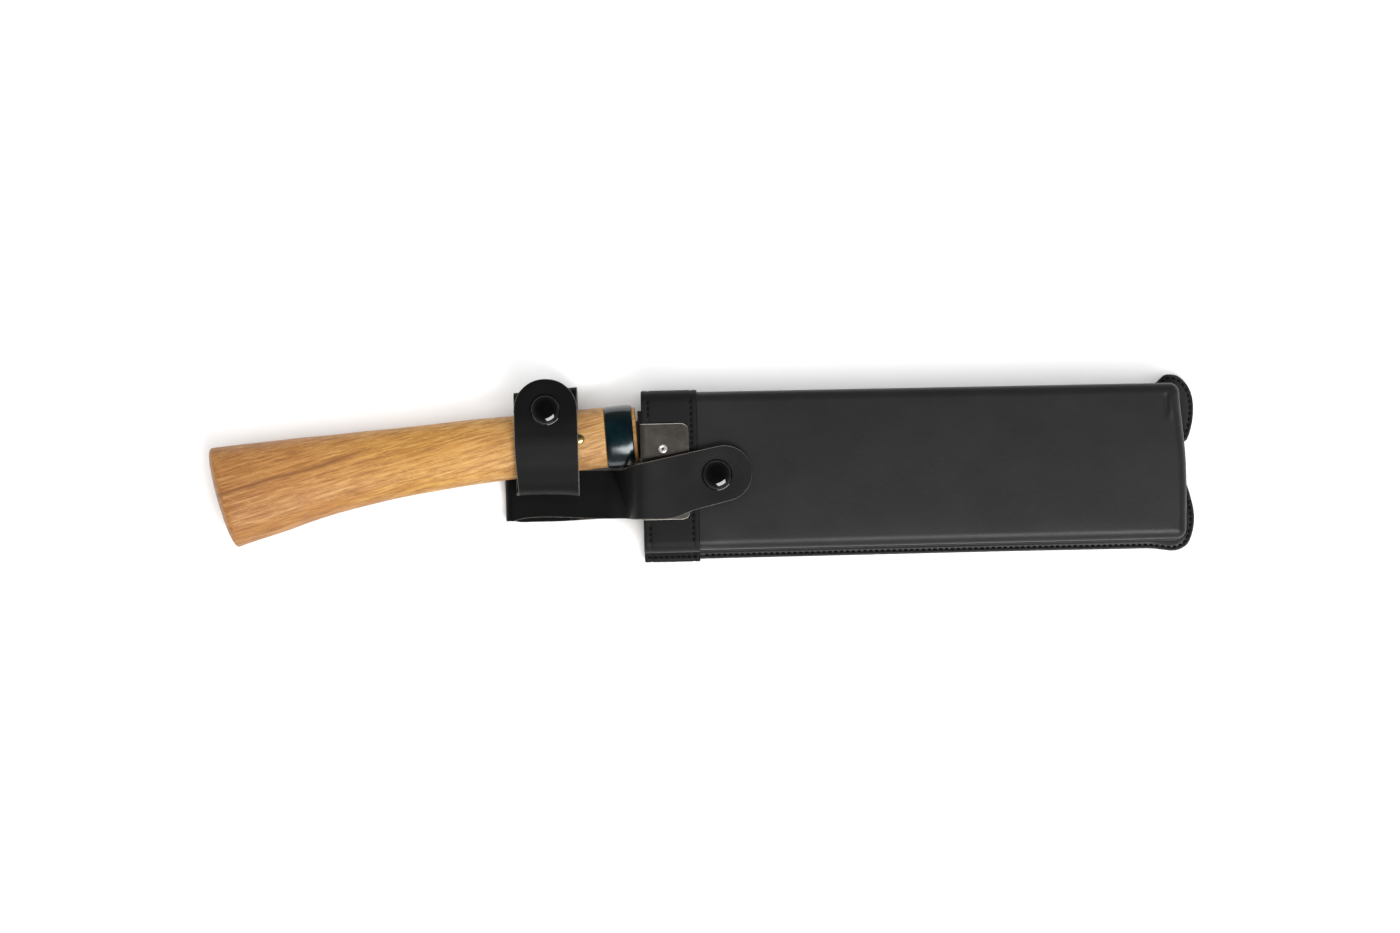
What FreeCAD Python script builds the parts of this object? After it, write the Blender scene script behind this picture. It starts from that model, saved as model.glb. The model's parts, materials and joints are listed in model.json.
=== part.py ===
"""A sheathed garden knife: oak handle, square-ended blade, stitched leather sheath with two snap straps.

Frame, in millimetres: +X runs from the butt of the handle to the tip of the sheath, +Y to the spine of the
blade and +Z from the back of the sheath to its front. z = 0 is the surface that the sheath lies on.
"""

import FreeCAD, Part
import math
import os
import re

import Sketcher

DIMENSIONS = {
    # leather, thread and sheet metal
    "gauge": 1.2,
    "parting": 0.05,
    "band_gauge": 0.8,
    "clip_gauge": 0.6,
    "thread_width": 0.6,
    "thread_height": 0.3,
    # sheath body
    "mouth_x": -23.6,
    "tip_x": 199.2,
    "back_z": 2.0,
    "front_z": 26.6,
    "edge_y": -33.6,
    "spine_y": 31.3,
    "spine_tip_y": 30.2,
    "flange_y": -37.7,
    "rim_round": 4.0,
    "tip_round": 3.0,
    "tip_lean": 2.0,
    "board_play": 0.2,
    "leaf_overlap": 0.6,
    "ear_reach": 3.5,
    "ear_round": 9.5,
    "chamfer": 0.29,
    "ear_taper": 0.4,
    "ear_flank": 10.0,
    "ear_dip": 0.2,
    "spine_rise": 0.1,
    "lower_ear_y": -39.2,
    "upper_ear_y": 34.4,
    "lower_gap_y": -11.6,
    "upper_gap_y": 4.8,
    "ear_root_x": 183.0,
    # pocket for the blade
    "blade_z": 14.5,
    "pocket_depth": 7.0,
    "pocket_top_y": 26.5,
    "pocket_low_y": -26.0,
    "pocket_end_x": 190.0,
    # mouth band and clip
    "band_end_x": -0.7,
    "first_column": 2.8,
    "second_column": 2.5,
    "column_low": 1.5,
    "thread_end": 0.5,
    "ear_thread_end": 4.0,
    "lower_thread_gap": 6.0,
    "upper_thread_gap": 8.0,
    "clip_end_x": -4.5,
    "clip_inner_x": -9.0,
    "clip_top_y": 18.5,
    "clip_low_y": -20.8,
    "clip_round": 3.0,
    "clip_rivet_x": -15.0,
    "clip_rivet_y": 8.2,
    "clip_rivet_pitch": 18.7,
    "clip_rivet_radius": 1.0,
    "clip_rivet_head": 1.85,
    "clip_rivet_crown": 0.45,
    "crown_share": 0.6,
    # knife
    "blade_gauge": 6.0,
    "blade_top_y": 24.0,
    "blade_edge_y": -24.0,
    "blade_heel_x": -11.0,
    "blade_tip_x": 178.0,
    "bevel_width": 16.0,
    "overcut": 0.5,
    "edge_gauge": 0.4,
    "neck_low_y": 5.0,
    "choil_run": 7.0,
    "choil_drop": 2.0,
    "choil_depth": 12.0,
    "neck_x": -25.2,
    "tang_gauge": 4.0,
    "tang_end_x": -118.0,
    "tang_play": 0.1,
    "tang_top_drop": 4.0,
    "tang_low_rise": 3.0,
    "tang_waist_up": 4.5,
    "tang_waist_down": 3.5,
    "tang_end_up": 3.0,
    "tang_end_down": 1.0,
    "spigot_x": -38.2,
    "spigot_y": 13.5,
    "spigot_tilt": 3.5,
    "spigot_length": 12.7,
    "spigot_half_height": 11.5,
    "spigot_half_thick": 8.35,
    "ferrule_length": 10.7,
    "ferrule_wall": 1.2,
    "ferrule_play": 0.05,
    "ferrule_gap": 0.1,
    "ferrule_round": 0.9,
    "butt_round": 1.6,
    "butt_reach": 10.0,
    "pin_x": -49.3,
    "pin_y": 13.1,
    "pin_radius": 1.6,
    "pin_head": 2.5,
    "pin_reach": 9.6,
    "pin_seat": 8.7,
    "pin_rim": 0.2,
    "crown": 0.7,
    # belt strap
    "belt_low_y": -20.0,
    "belt_top_y": 0.2,
    "belt_root_x": 3.0,
    "belt_fold_x": -80.3,
    "belt_gap": 4.1,
    "riser_x": -37.0,
    "riser_lead": 3.0,
    "belt_hinge_x": -25.0,
    "belt_tab_z": 28.6,
    "belt_tab_width": 22.8,
    "belt_tab_tilt": 11.2,
    "belt_snap_x": 6.9,
    "belt_snap_y": -3.0,
    "belt_tab_reach": 14.4,
    "flex_reach": 2.0,
    "flex_round": 3.0,
    "belt_rivet_x": -12.0,
    "belt_rivet_y": -5.0,
    "belt_rivet_pitch": 10.0,
    "belt_rivet_radius": 1.5,
    "belt_rivet_head": 3.5,
    "sunk_head": 0.5,
    "rivet_head": 0.5,
    # handle strap
    "strap_left_x": -75.7,
    "strap_right_x": -49.7,
    "strap_bend_y": -8.9,
    "strap_crest_y": 33.5,
    "strap_run_z": 3.2,
    "step_start": 0.4,
    "step_end": 4.8,
    "step_round": 1.5,
    "step_foot_round": 2.0,
    "bend_round": 1.8,
    "strap_front_z": 25.2,
    "strap_back_round": 7.4,
    "strap_front_round": 3.9,
    "strap_end_y": 17.5,
    "strap_over": 0.3,
    "side_round": 6.0,
    "lap_start": 5.0,
    "lap_end": 1.0,
    "lap_round": 10.0,
    "lap_top_round": 8.0,
    "tip_flat": 0.3,
    "strap_tab_z": 27.2,
    "strap_snap_x": -62.7,
    "strap_snap_y": 25.3,
    "strap_tab_end_y": 37.9,
    "strap_rivet_y": -3.4,
    # snap fastener
    "cap_radius": 6.35,
    "cap_height": 2.4,
    "cap_round": 1.9,
    "cap_post": 2.0,
    "stud_flange": 5.0,
    "stud_head": 2.05,
    "stud_neck": 1.6,
    "stud_neck_top": 0.8,
    "stud_bulge": 1.15,
    "stud_height": 1.55,
    "post_radius": 0.9,
    "post_flange": 4.2,
    "plate": 0.5,
    "socket_radius": 5.2,
    "socket_bore": 2.35,
    "socket_groove": 2.9,
    "socket_height": 1.3,
    "socket_web": 0.3,
    "groove_low": 0.4,
    "spring_radius": 2.63,
    "spring_wire": 0.2,
    "spring_lift": 0.65,
}

# stations of the handle's oval section, from the shoulder behind the ferrule to the butt:
# place along X, middle in Y, half height, half thickness and tilt about Z in degrees
HANDLE_STATIONS = {
    "shoulder": (-38.2, 13.5, 12.3, 9.2, 3.5),
    "waist": (-63.0, 11.3, 12.8, 9.0, 3.5),
    "fore": (-94.0, 8.65, 13.35, 9.2, 3.0),
    "palm": (-124.0, 5.05, 14.3, 9.9, 3.5),
    "swell": (-150.0, 1.2, 16.1, 11.0, 6.0),
    "flare": (-174.0, -3.3, 18.8, 12.2, 10.0),
    "butt": (-195.8, -7.5, 21.2, 13.0, 14.3),
}
STATION_SIZES = ("place", "middle", "height", "thick", "tilt")

# formulas that several sub-parts share: the middle of the belt strap's front layer, the middle of the
# handle strap where it lies on that layer, and how far the belt strap climbs to the sheath's front
LAYER_Z = "gauge * 1.5 + belt_gap"
SEAT_Z = "gauge * 2.5 + belt_gap + parting"
RISE = "belt_tab_z - gauge - belt_gap"

doc = FreeCAD.newDocument("garden_knife")
sheet = doc.addObject("Spreadsheet::Sheet", "dims")
for station, sizes in HANDLE_STATIONS.items():
    for kind, size in zip(STATION_SIZES, sizes):
        DIMENSIONS[f"{station}_{kind}"] = size
for row, (alias, size) in enumerate(DIMENSIONS.items(), start=1):
    sheet.set(f"A{row}", alias)
    sheet.set(f"B{row}", str(size))
    sheet.setAlias(f"B{row}", alias)
doc.recompute()

parts = []


def formula(text):
    """A formula on aliases, written as the document's expressions want it."""
    return re.sub("[a-z_]+", lambda word: f"dims.{word[0]}" if word[0] in DIMENSIONS else word[0], text)


def value(text):
    """What a formula on the sheet's aliases comes to."""
    return float(sheet.evalExpression(formula(text)))


def point(across, up):
    """A point of a sketch from two formulas."""
    return FreeCAD.Vector(value(across), value(up), 0)


def new_body(label):
    """An empty body that becomes one file of the part."""
    body = doc.addObject("PartDesign::Body", label)
    body.Label = label
    parts.append(body)
    return body


def place(body, along, across, up):
    """Ties a body's place to formulas."""
    for axis, text in zip("xyz", (along, across, up)):
        body.setExpression(f"Placement.Base.{axis}", formula(text))


def new_sketch(body, plane, lift="0"):
    """An empty sketch on one of the body's origin planes, lifted along that plane's normal."""
    made = body.newObject("Sketcher::SketchObject", f"{body.Name}_sketch")
    origin = next(item for item in body.Origin.OriginFeatures if item.Role == plane)
    made.AttachmentSupport = [(origin, "")]
    made.MapMode = "FlatFace"
    made.setExpression("AttachmentOffset.Base.z", formula(lift))
    return made


def corners(made, *places):
    """A closed outline of straight edges whose corners are tied to pairs of formulas."""
    points = [point(*pair) for pair in places]
    first = made.GeometryCount
    for start, end in zip(points, points[1:] + points[:1]):
        made.addGeometry(Part.LineSegment(start, end))
    for index, pair in enumerate(places):
        here = first + index
        after = first + (index + 1) % len(places)
        made.addConstraint(Sketcher.Constraint("Coincident", here, 2, after, 1))
        for kind, text, size in zip(("DistanceX", "DistanceY"), pair, points[index]):
            tied = made.addConstraint(Sketcher.Constraint(kind, -1, 1, here, 1, size))
            made.setExpression(f"Constraints[{tied}]", formula(text))


def circle(made, across, up, radius):
    """A circle whose middle and radius are tied to formulas."""
    here = made.GeometryCount
    middle = point(across, up)
    made.addGeometry(Part.Circle(middle, FreeCAD.Vector(0, 0, 1), value(radius)))
    for kind, text, size in zip(("DistanceX", "DistanceY"), (across, up), middle):
        tied = made.addConstraint(Sketcher.Constraint(kind, -1, 1, here, 3, size))
        made.setExpression(f"Constraints[{tied}]", formula(text))
    tied = made.addConstraint(Sketcher.Constraint("Radius", here, value(radius)))
    made.setExpression(f"Constraints[{tied}]", formula(radius))


def oval(made, half_height, half_thick):
    """An ellipse about the sketch's origin, taller than it is thick."""
    tall, thin = value(half_height), value(half_thick)
    top = FreeCAD.Vector(tall, 0, 0)
    side = FreeCAD.Vector(0, thin, 0)
    made.addGeometry(Part.Ellipse(top, side, FreeCAD.Vector(0, 0, 0)))


def rounded_run(path, rounds, offset):
    """Straight edges and arcs along a path of points, at an offset to its left."""
    ways = [(after - before).normalize() for before, after in zip(path, path[1:])]
    lefts = [FreeCAD.Vector(-way.y, way.x, 0) for way in ways]
    edges = []
    here = path[0] + lefts[0] * offset
    for index, bend in enumerate(rounds, start=1):
        way, left, turned = ways[index - 1], lefts[index - 1], lefts[index]
        turn = math.atan2(way.cross(ways[index]).z, way.dot(ways[index]))
        reach = bend * math.tan(abs(turn) / 2)
        start = path[index] - way * reach + left * offset
        end = path[index] + ways[index] * reach + turned * offset
        middle = path[index] - way * reach + left * math.copysign(bend, turn)
        radius = bend - math.copysign(1, turn) * offset
        if (start - here).Length > 1e-6:
            edges.append(Part.LineSegment(here, start))
        if bend:
            through = middle + (path[index] - middle).normalize() * radius
            edges.append(Part.Arc(start, through, end))
        here = end
    edges.append(Part.LineSegment(here, path[-1] + lefts[-1] * offset))
    return edges


def ribbon(made, places, rounds):
    """The edge-on outline of a leather strip, one gauge thick about a path of formula pairs."""
    path = [point(*pair) for pair in places]
    half = value("gauge / 2")
    sides = [rounded_run(path, rounds, offset) for offset in (half, -half)]
    ends = [
        Part.LineSegment(sides[0][0].StartPoint, sides[1][0].StartPoint),
        Part.LineSegment(sides[0][-1].EndPoint, sides[1][-1].EndPoint),
    ]
    for edge in sides[0] + sides[1] + ends:
        made.addGeometry(edge)


def pad(body, made, length):
    """Adds a sketch's extrusion along its plane's normal."""
    feature = body.newObject("PartDesign::Pad", f"{body.Name}_pad")
    feature.Profile = made
    feature.setExpression("Length", formula(length))
    body.Tip = feature
    doc.recompute()
    return feature


def pocket(body, made, length, upward=False):
    """Cuts a sketch's extrusion out of the body, and makes sure that it cut something."""
    before = body.Shape.Volume
    feature = body.newObject("PartDesign::Pocket", f"{body.Name}_pocket")
    feature.Profile = made
    feature.Reversed = upward
    feature.setExpression("Length", formula(length))
    body.Tip = feature
    doc.recompute()
    if body.Shape.Volume > before - 1e-3:
        raise ValueError(f"a pocket in {body.Label} cuts nothing")
    return feature


def drill(body, along, across, radius, low, high):
    """A round hole along Z between two heights."""
    made = new_sketch(body, "XY_Plane", high)
    circle(made, along, across, radius)
    return pocket(body, made, f"{high} - ({low})")


def revolve(body, made):
    """Adds a sketch's full turn about the sketch's upright axis."""
    feature = body.newObject("PartDesign::Revolution", f"{body.Name}_turning")
    feature.Profile = made
    feature.ReferenceAxis = (made, ["V_Axis"])
    feature.Angle = 360
    body.Tip = feature
    doc.recompute()
    return feature


def fillet(body, base, chosen, radius):
    """Rounds the edges of a feature that a test picks by their boxes."""
    boxes = enumerate((edge.BoundBox for edge in base.Shape.Edges), start=1)
    names = [f"Edge{number}" for number, box in boxes if chosen(box)]
    feature = body.newObject("PartDesign::Fillet", f"{body.Name}_round")
    feature.Base = (base, names)
    feature.setExpression("Radius", formula(radius))
    body.Tip = feature
    doc.recompute()
    return feature


def repeat_down(body, feature, pitch):
    """Makes a second one of a feature, one pitch towards -Y."""
    pattern = body.newObject("PartDesign::LinearPattern", f"{body.Name}_pair")
    pattern.Originals = [feature]
    axis = next(item for item in body.Origin.OriginFeatures if item.Role == "Y_Axis")
    pattern.Direction = (axis, [""])
    pattern.Reversed = True
    pattern.setExpression("Length", formula(pitch))
    pattern.Occurrences = 2
    body.Tip = pattern
    doc.recompute()
    return pattern


def near(size, text, margin=0.05):
    """Whether a measured size is what a formula comes to."""
    return abs(size - value(text)) < margin


def clip_rivet_holes(body, low, high):
    """The two holes that the clip's rivets pass through."""
    for across in ("clip_rivet_y", "clip_rivet_y - clip_rivet_pitch"):
        drill(body, "clip_rivet_x", across, "clip_rivet_radius", low, high)


def belt_rivet_holes(body, low, high, radius="belt_rivet_radius"):
    """The two holes that the belt strap's rivets pass through."""
    for across in ("belt_rivet_y", "belt_rivet_y - belt_rivet_pitch"):
        drill(body, "belt_rivet_x", across, radius, low, high)


# ---------------------------------------------------------------- sheath body


def wall_x(across):
    """The tip wall's place along X at a height across, as it leans back towards the spine side."""
    return f"(tip_x - tip_lean * (({across}) - edge_y) / (spine_tip_y - edge_y))"


def flange_outlines(made, play):
    """The flange below the edge side with its ear, and the ear of the spine side.

    play keeps the inner side clear of the wall, or lets it run into the wall where it is below zero."""
    far = "tip_x + ear_reach"
    corners(
        made,
        ("mouth_x", f"edge_y - {play}"),
        ("mouth_x", "flange_y"),
        ("ear_root_x", "flange_y + ear_dip"),
        (f"{far} - ear_round", "lower_ear_y"),
        (f"{far} - ear_round * chamfer", "lower_ear_y + ear_round * chamfer"),
        (far, "lower_ear_y + ear_round"),
        (f"{far} - ear_taper", "lower_gap_y - ear_flank"),
        (f"{wall_x('lower_gap_y')} + {play}", "lower_gap_y"),
        (f"tip_x + {play}", "edge_y + tip_round / 2"),
        ("tip_x - tip_round / 2", f"edge_y - {play}"),
    )
    corners(
        made,
        (f"{wall_x('upper_gap_y')} + {play}", "upper_gap_y"),
        (far, "upper_gap_y + ear_flank"),
        (far, "upper_ear_y - ear_round"),
        (f"{far} - ear_round * chamfer", "upper_ear_y - ear_round * chamfer"),
        (f"{far} - ear_round", "upper_ear_y"),
        ("ear_root_x", f"spine_tip_y + {play} + spine_rise"),
        ("tip_x - tip_lean - tip_round / 2", f"spine_tip_y + {play}"),
        (f"{wall_x('spine_tip_y')} + {play}", "spine_tip_y - tip_round / 2"),
    )


def box_outline(made, inset):
    """The sheath body's outline seen from the front, set in by a formula."""
    low, high = f"edge_y + {inset}", f"spine_tip_y - {inset}"
    corners(
        made,
        ("mouth_x", low),
        (f"{wall_x(low)} - {inset}", low),
        (f"{wall_x(high)} - {inset}", high),
        ("mouth_x", f"spine_y - {inset}"),
    )


def tip_edges(inset):
    """A test that picks the upright edges at the tip of an outline set in by a formula."""
    least = value(f"tip_x - tip_lean - {inset} - parting")
    return lambda box: box.XMin > least and box.ZLength > 1


def round_box(body, base, front, inset, corner, rim):
    """Rounds a board's corners at the tip and then the rim of its front."""
    upright = fillet(body, base, tip_edges(inset), corner)
    return fillet(
        body,
        upright,
        lambda box: near(box.ZMin, front) and box.ZLength < 0.01 and box.XMax > value("mouth_x + 1"),
        rim,
    )


def sheath_cover():
    """Leather folded over the spine side, its two edges sewn together as a flange below the edge side."""
    body = new_body("sheath_cover")
    outer = new_sketch(body, "XY_Plane", "back_z")
    box_outline(outer, "0")
    block = pad(body, outer, "front_z - back_z")
    rounded = round_box(body, block, "front_z", "0", "tip_round", "rim_round")
    mouth = next(
        f"Face{number}"
        for number, face in enumerate(rounded.Shape.Faces, start=1)
        if near(face.CenterOfMass.x, "mouth_x")
    )
    shell = body.newObject("PartDesign::Thickness", "sheath_cover_shell")
    shell.Base = (rounded, [mouth])
    shell.setExpression("Value", formula("gauge"))
    shell.Reversed = True
    body.Tip = shell
    doc.recompute()
    for low in ("back_z", "back_z + gauge * 2"):
        leaf = new_sketch(body, "XY_Plane", low)
        flange_outlines(leaf, "(-leaf_overlap)")
        pad(body, leaf, "gauge")
    clip_rivet_holes(body, "front_z - gauge", "front_z")
    belt_rivet_holes(body, "back_z", "back_z + gauge")
    drill(body, "belt_snap_x", "belt_snap_y", "post_radius", "front_z - gauge", "front_z")


def edge_welt():
    """The strip sewn between the two leathers of the flange and of the ears."""
    body = new_body("edge_welt")
    body.AllowCompound = True
    made = new_sketch(body, "XY_Plane", "back_z + gauge")
    flange_outlines(made, "parting")
    pad(body, made, "gauge")


def sheath_core_back():
    """The back board, with the blade's pocket cut into its inner face."""
    body = new_body("sheath_core_back")
    made = new_sketch(body, "XY_Plane", "back_z + gauge")
    box_outline(made, "gauge")
    block = pad(body, made, "blade_z + pocket_depth / 2 - back_z - gauge")
    fillet(body, block, tip_edges("gauge"), "tip_round - gauge + board_play")
    inner = new_sketch(body, "XY_Plane", "blade_z + pocket_depth / 2")
    corners(
        inner,
        ("mouth_x - 1", "pocket_low_y"),
        ("pocket_end_x", "pocket_low_y"),
        ("pocket_end_x", "pocket_top_y"),
        ("mouth_x - 1", "pocket_top_y"),
    )
    pocket(body, inner, "pocket_depth")
    belt_rivet_holes(body, "back_z + gauge", "blade_z - pocket_depth / 2")
    belt_rivet_holes(
        body,
        "blade_z - pocket_depth / 2 - sunk_head",
        "blade_z - pocket_depth / 2",
        "belt_rivet_head",
    )


def sheath_core_front():
    """The front board, which closes the pocket."""
    body = new_body("sheath_core_front")
    made = new_sketch(body, "XY_Plane", "blade_z + pocket_depth / 2")
    box_outline(made, "gauge")
    block = pad(body, made, "front_z - gauge - blade_z - pocket_depth / 2")
    round_box(
        body,
        block,
        "front_z - gauge",
        "gauge",
        "tip_round - gauge + board_play",
        "rim_round - gauge + board_play",
    )
    seat = new_sketch(body, "XY_Plane", "blade_z + pocket_depth / 2")
    corners(
        seat,
        ("mouth_x - 1", "clip_low_y"),
        ("clip_inner_x", "clip_low_y"),
        ("clip_inner_x", "clip_top_y"),
        ("mouth_x - 1", "clip_top_y"),
    )
    pocket(body, seat, "clip_gauge", upward=True)
    clip_rivet_holes(body, "blade_z + pocket_depth / 2", "front_z - gauge")
    drill(body, "belt_snap_x", "belt_snap_y", "post_flange", "front_z - gauge - plate", "front_z - gauge")


def mouth_band():
    """The band of leather sewn round the mouth, over the flange as well."""
    body = new_body("mouth_band")
    made = new_sketch(body, "YZ_Plane", "mouth_x")
    for spread, extra in (("0", "0"), ("band_gauge", "band_gauge")):
        path = [
            point(f"flange_y - {spread}", f"back_z - {spread}"),
            point(f"flange_y - {spread}", f"back_z + gauge * 3 + {spread}"),
            point(f"edge_y - {spread}", f"back_z + gauge * 3 + {spread}"),
            point(f"edge_y - {spread}", f"front_z + {spread}"),
            point(f"spine_y + {spread}", f"front_z + {spread}"),
            point(f"spine_y + {spread}", f"back_z - {spread}"),
        ]
        start = point("0", f"back_z - {spread}")
        rounds = [0, 0, 0, value(f"rim_round + {extra}"), value(f"rim_round + {extra}"), 0]
        for edge in rounded_run([start, *path, start], rounds, 0):
            made.addGeometry(edge)
    pad(body, made, "band_end_x - mouth_x")
    clip_rivet_holes(body, "front_z", "front_z + band_gauge")
    belt_rivet_holes(body, "back_z - band_gauge", "back_z")


def mouth_clip_front():
    """A stainless plate bent over the front wall of the mouth, riveted outside and let in inside."""
    body = new_body("mouth_clip_front")
    made = new_sketch(body, "XZ_Plane", "-clip_top_y")
    corners(
        made,
        ("clip_end_x", "front_z + band_gauge"),
        ("clip_end_x", "front_z + band_gauge + clip_gauge"),
        ("mouth_x - clip_gauge", "front_z + band_gauge + clip_gauge"),
        ("mouth_x - clip_gauge", "blade_z + pocket_depth / 2"),
        ("clip_inner_x", "blade_z + pocket_depth / 2"),
        ("clip_inner_x", "blade_z + pocket_depth / 2 + clip_gauge"),
        ("mouth_x", "blade_z + pocket_depth / 2 + clip_gauge"),
        ("mouth_x", "front_z + band_gauge"),
    )
    plate = pad(body, made, "clip_top_y - clip_low_y")
    fillet(
        body,
        plate,
        lambda box: near(box.XMin, "clip_end_x") and box.ZLength > 0.1,
        "clip_round",
    )
    clip_rivet_holes(body, "blade_z + pocket_depth / 2", "front_z + band_gauge + clip_gauge")


def clip_rivets_front():
    """The clip's two rivets, with low heads outside and flush ends inside."""
    body = new_body("clip_rivets_front")
    body.AllowCompound = True
    made = new_sketch(body, "XZ_Plane")
    corners(
        made,
        ("0", "blade_z + pocket_depth / 2"),
        ("clip_rivet_radius", "blade_z + pocket_depth / 2"),
        ("clip_rivet_radius", "front_z + band_gauge + clip_gauge"),
        ("clip_rivet_head", "front_z + band_gauge + clip_gauge"),
        ("clip_rivet_head * crown_share", "front_z + band_gauge + clip_gauge + clip_rivet_crown"),
        ("0", "front_z + band_gauge + clip_gauge + clip_rivet_crown"),
    )
    turned = revolve(body, made)
    repeat_down(body, turned, "clip_rivet_pitch")
    place(body, "clip_rivet_x", "clip_rivet_y", "0")


def cover_thread():
    """The lockstitch of the flange and the two ears, as a low raised line."""
    body = new_body("cover_thread")
    body.AllowCompound = True
    made = new_sketch(body, "XY_Plane", "back_z + gauge * 3")
    middle = "(flange_y + edge_y) / 2"
    corners(
        made,
        ("band_end_x + thread_end", f"{middle} - thread_width / 2"),
        ("tip_x - tip_round", f"{middle} - thread_width / 2"),
        ("tip_x - tip_round", f"{middle} + thread_width / 2"),
        ("band_end_x + thread_end", f"{middle} + thread_width / 2"),
    )
    ears = (
        ("edge_y + ear_thread_end", "lower_gap_y - lower_thread_gap"),
        ("upper_gap_y + upper_thread_gap", "spine_tip_y - ear_thread_end"),
    )
    for low, high in ears:
        corners(
            made,
            ("tip_x + ear_reach / 2 - thread_width / 2", low),
            ("tip_x + ear_reach / 2 + thread_width / 2", low),
            ("tip_x + ear_reach / 2 + thread_width / 2", high),
            ("tip_x + ear_reach / 2 - thread_width / 2", high),
        )
    pad(body, made, "thread_height")


def band_thread():
    """The two columns of stitches that hold the mouth band, broken where the clip covers them."""
    body = new_body("band_thread")
    body.AllowCompound = True
    made = new_sketch(body, "XY_Plane", "front_z + band_gauge")
    low, high = "edge_y + column_low", "spine_y - rim_round"
    columns = (
        ("mouth_x + first_column", low, "clip_low_y - thread_end"),
        ("mouth_x + first_column", "clip_top_y + thread_end", high),
        ("band_end_x - second_column", low, high),
    )
    for along, start, end in columns:
        corners(
            made,
            (f"{along} - thread_width / 2", start),
            (f"{along} + thread_width / 2", start),
            (f"{along} + thread_width / 2", end),
            (f"{along} - thread_width / 2", end),
        )
    pad(body, made, "thread_height")


# ---------------------------------------------------------------- knife


def blade():
    """The blade with its neck and tang, forged in one piece."""
    body = new_body("blade")
    made = new_sketch(body, "XY_Plane", "blade_z - blade_gauge / 2")
    corners(
        made,
        ("neck_x", "blade_top_y"),
        ("neck_x", "neck_low_y"),
        ("blade_heel_x - choil_run", "neck_low_y - choil_drop"),
        ("blade_heel_x", "neck_low_y - choil_depth"),
        ("blade_heel_x", "blade_edge_y"),
        ("blade_tip_x", "blade_edge_y"),
        ("blade_tip_x", "blade_top_y"),
    )
    slab = pad(body, made, "blade_gauge")
    fillet(
        body,
        slab,
        lambda box: near(box.XMin, "blade_tip_x") and box.ZLength > 1,
        "tip_round",
    )
    for side in (1, -1):
        bevel = new_sketch(body, "YZ_Plane", "blade_heel_x - overcut")
        corners(
            bevel,
            ("blade_edge_y + bevel_width", f"blade_z + {side} * blade_gauge / 2"),
            ("blade_edge_y", f"blade_z + {side} * edge_gauge / 2"),
            ("blade_edge_y - overcut", f"blade_z + {side} * edge_gauge / 2"),
            ("blade_edge_y - overcut", f"blade_z + {side} * blade_gauge / 2"),
        )
        pocket(body, bevel, "blade_tip_x - blade_heel_x + overcut * 2", upward=True)
    tang = new_sketch(body, "XY_Plane", "blade_z - tang_gauge / 2")
    tang_outline(tang, "0")
    pad(body, tang, "tang_gauge")
    drill(body, "pin_x", "pin_y", "pin_radius", "blade_z - blade_gauge", "blade_z + blade_gauge")


def tang_outline(made, play):
    """The tapering tang, which follows the middle of the handle."""
    corners(
        made,
        ("neck_x", f"blade_top_y - tang_top_drop + {play}"),
        ("waist_place", f"waist_middle + tang_waist_up + {play}"),
        (f"tang_end_x - {play}", f"palm_middle + tang_end_up + {play}"),
        (f"tang_end_x - {play}", f"palm_middle - tang_end_down - {play}"),
        ("waist_place", f"waist_middle - tang_waist_down - {play}"),
        ("neck_x", f"neck_low_y + tang_low_rise - {play}"),
    )


def handle():
    """The curved oak handle, with a spigot for the ferrule and a hole for the tang."""
    body = new_body("handle")
    sections = []
    for name in HANDLE_STATIONS:
        made = new_sketch(body, "YZ_Plane")
        turned = FreeCAD.Rotation(FreeCAD.Vector(0, 1, 0), value(f"{name}_tilt"))
        made.AttachmentOffset = FreeCAD.Placement(FreeCAD.Vector(0, 0, 0), turned)
        made.setExpression("AttachmentOffset.Base.x", formula(f"{name}_middle"))
        made.setExpression("AttachmentOffset.Base.y", formula("blade_z"))
        made.setExpression("AttachmentOffset.Base.z", formula(f"{name}_place"))
        oval(made, f"{name}_height", f"{name}_thick")
        sections.append(made)
    doc.recompute()
    loft = body.newObject("PartDesign::AdditiveLoft", "handle_loft")
    loft.Profile = sections[0]
    loft.Sections = sections[1:]
    body.Tip = loft
    doc.recompute()
    fillet(body, loft, lambda box: box.XMax < value("butt_place + butt_reach"), "butt_round")
    spigot = new_sketch(body, "YZ_Plane")
    turned = FreeCAD.Rotation(FreeCAD.Vector(0, 1, 0), value("spigot_tilt"))
    spigot.AttachmentOffset = FreeCAD.Placement(FreeCAD.Vector(0, 0, 0), turned)
    spigot.setExpression("AttachmentOffset.Base.x", formula("spigot_y"))
    spigot.setExpression("AttachmentOffset.Base.y", formula("blade_z"))
    spigot.setExpression("AttachmentOffset.Base.z", formula("spigot_x"))
    oval(spigot, "spigot_half_height", "spigot_half_thick")
    pad(body, spigot, "spigot_length")
    slot = new_sketch(body, "XY_Plane", "blade_z + tang_gauge / 2 + tang_play")
    tang_outline(slot, "tang_play")
    pocket(body, slot, "tang_gauge + tang_play * 2")
    drill(body, "pin_x", "pin_y", "pin_radius", "blade_z - pin_reach - 1", "blade_z + pin_reach + 1")
    drill(body, "pin_x", "pin_y", "pin_head", "blade_z + pin_seat", "blade_z + pin_reach + 1")
    drill(body, "pin_x", "pin_y", "pin_head", "blade_z - pin_reach - 1", "blade_z - pin_seat")


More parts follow.
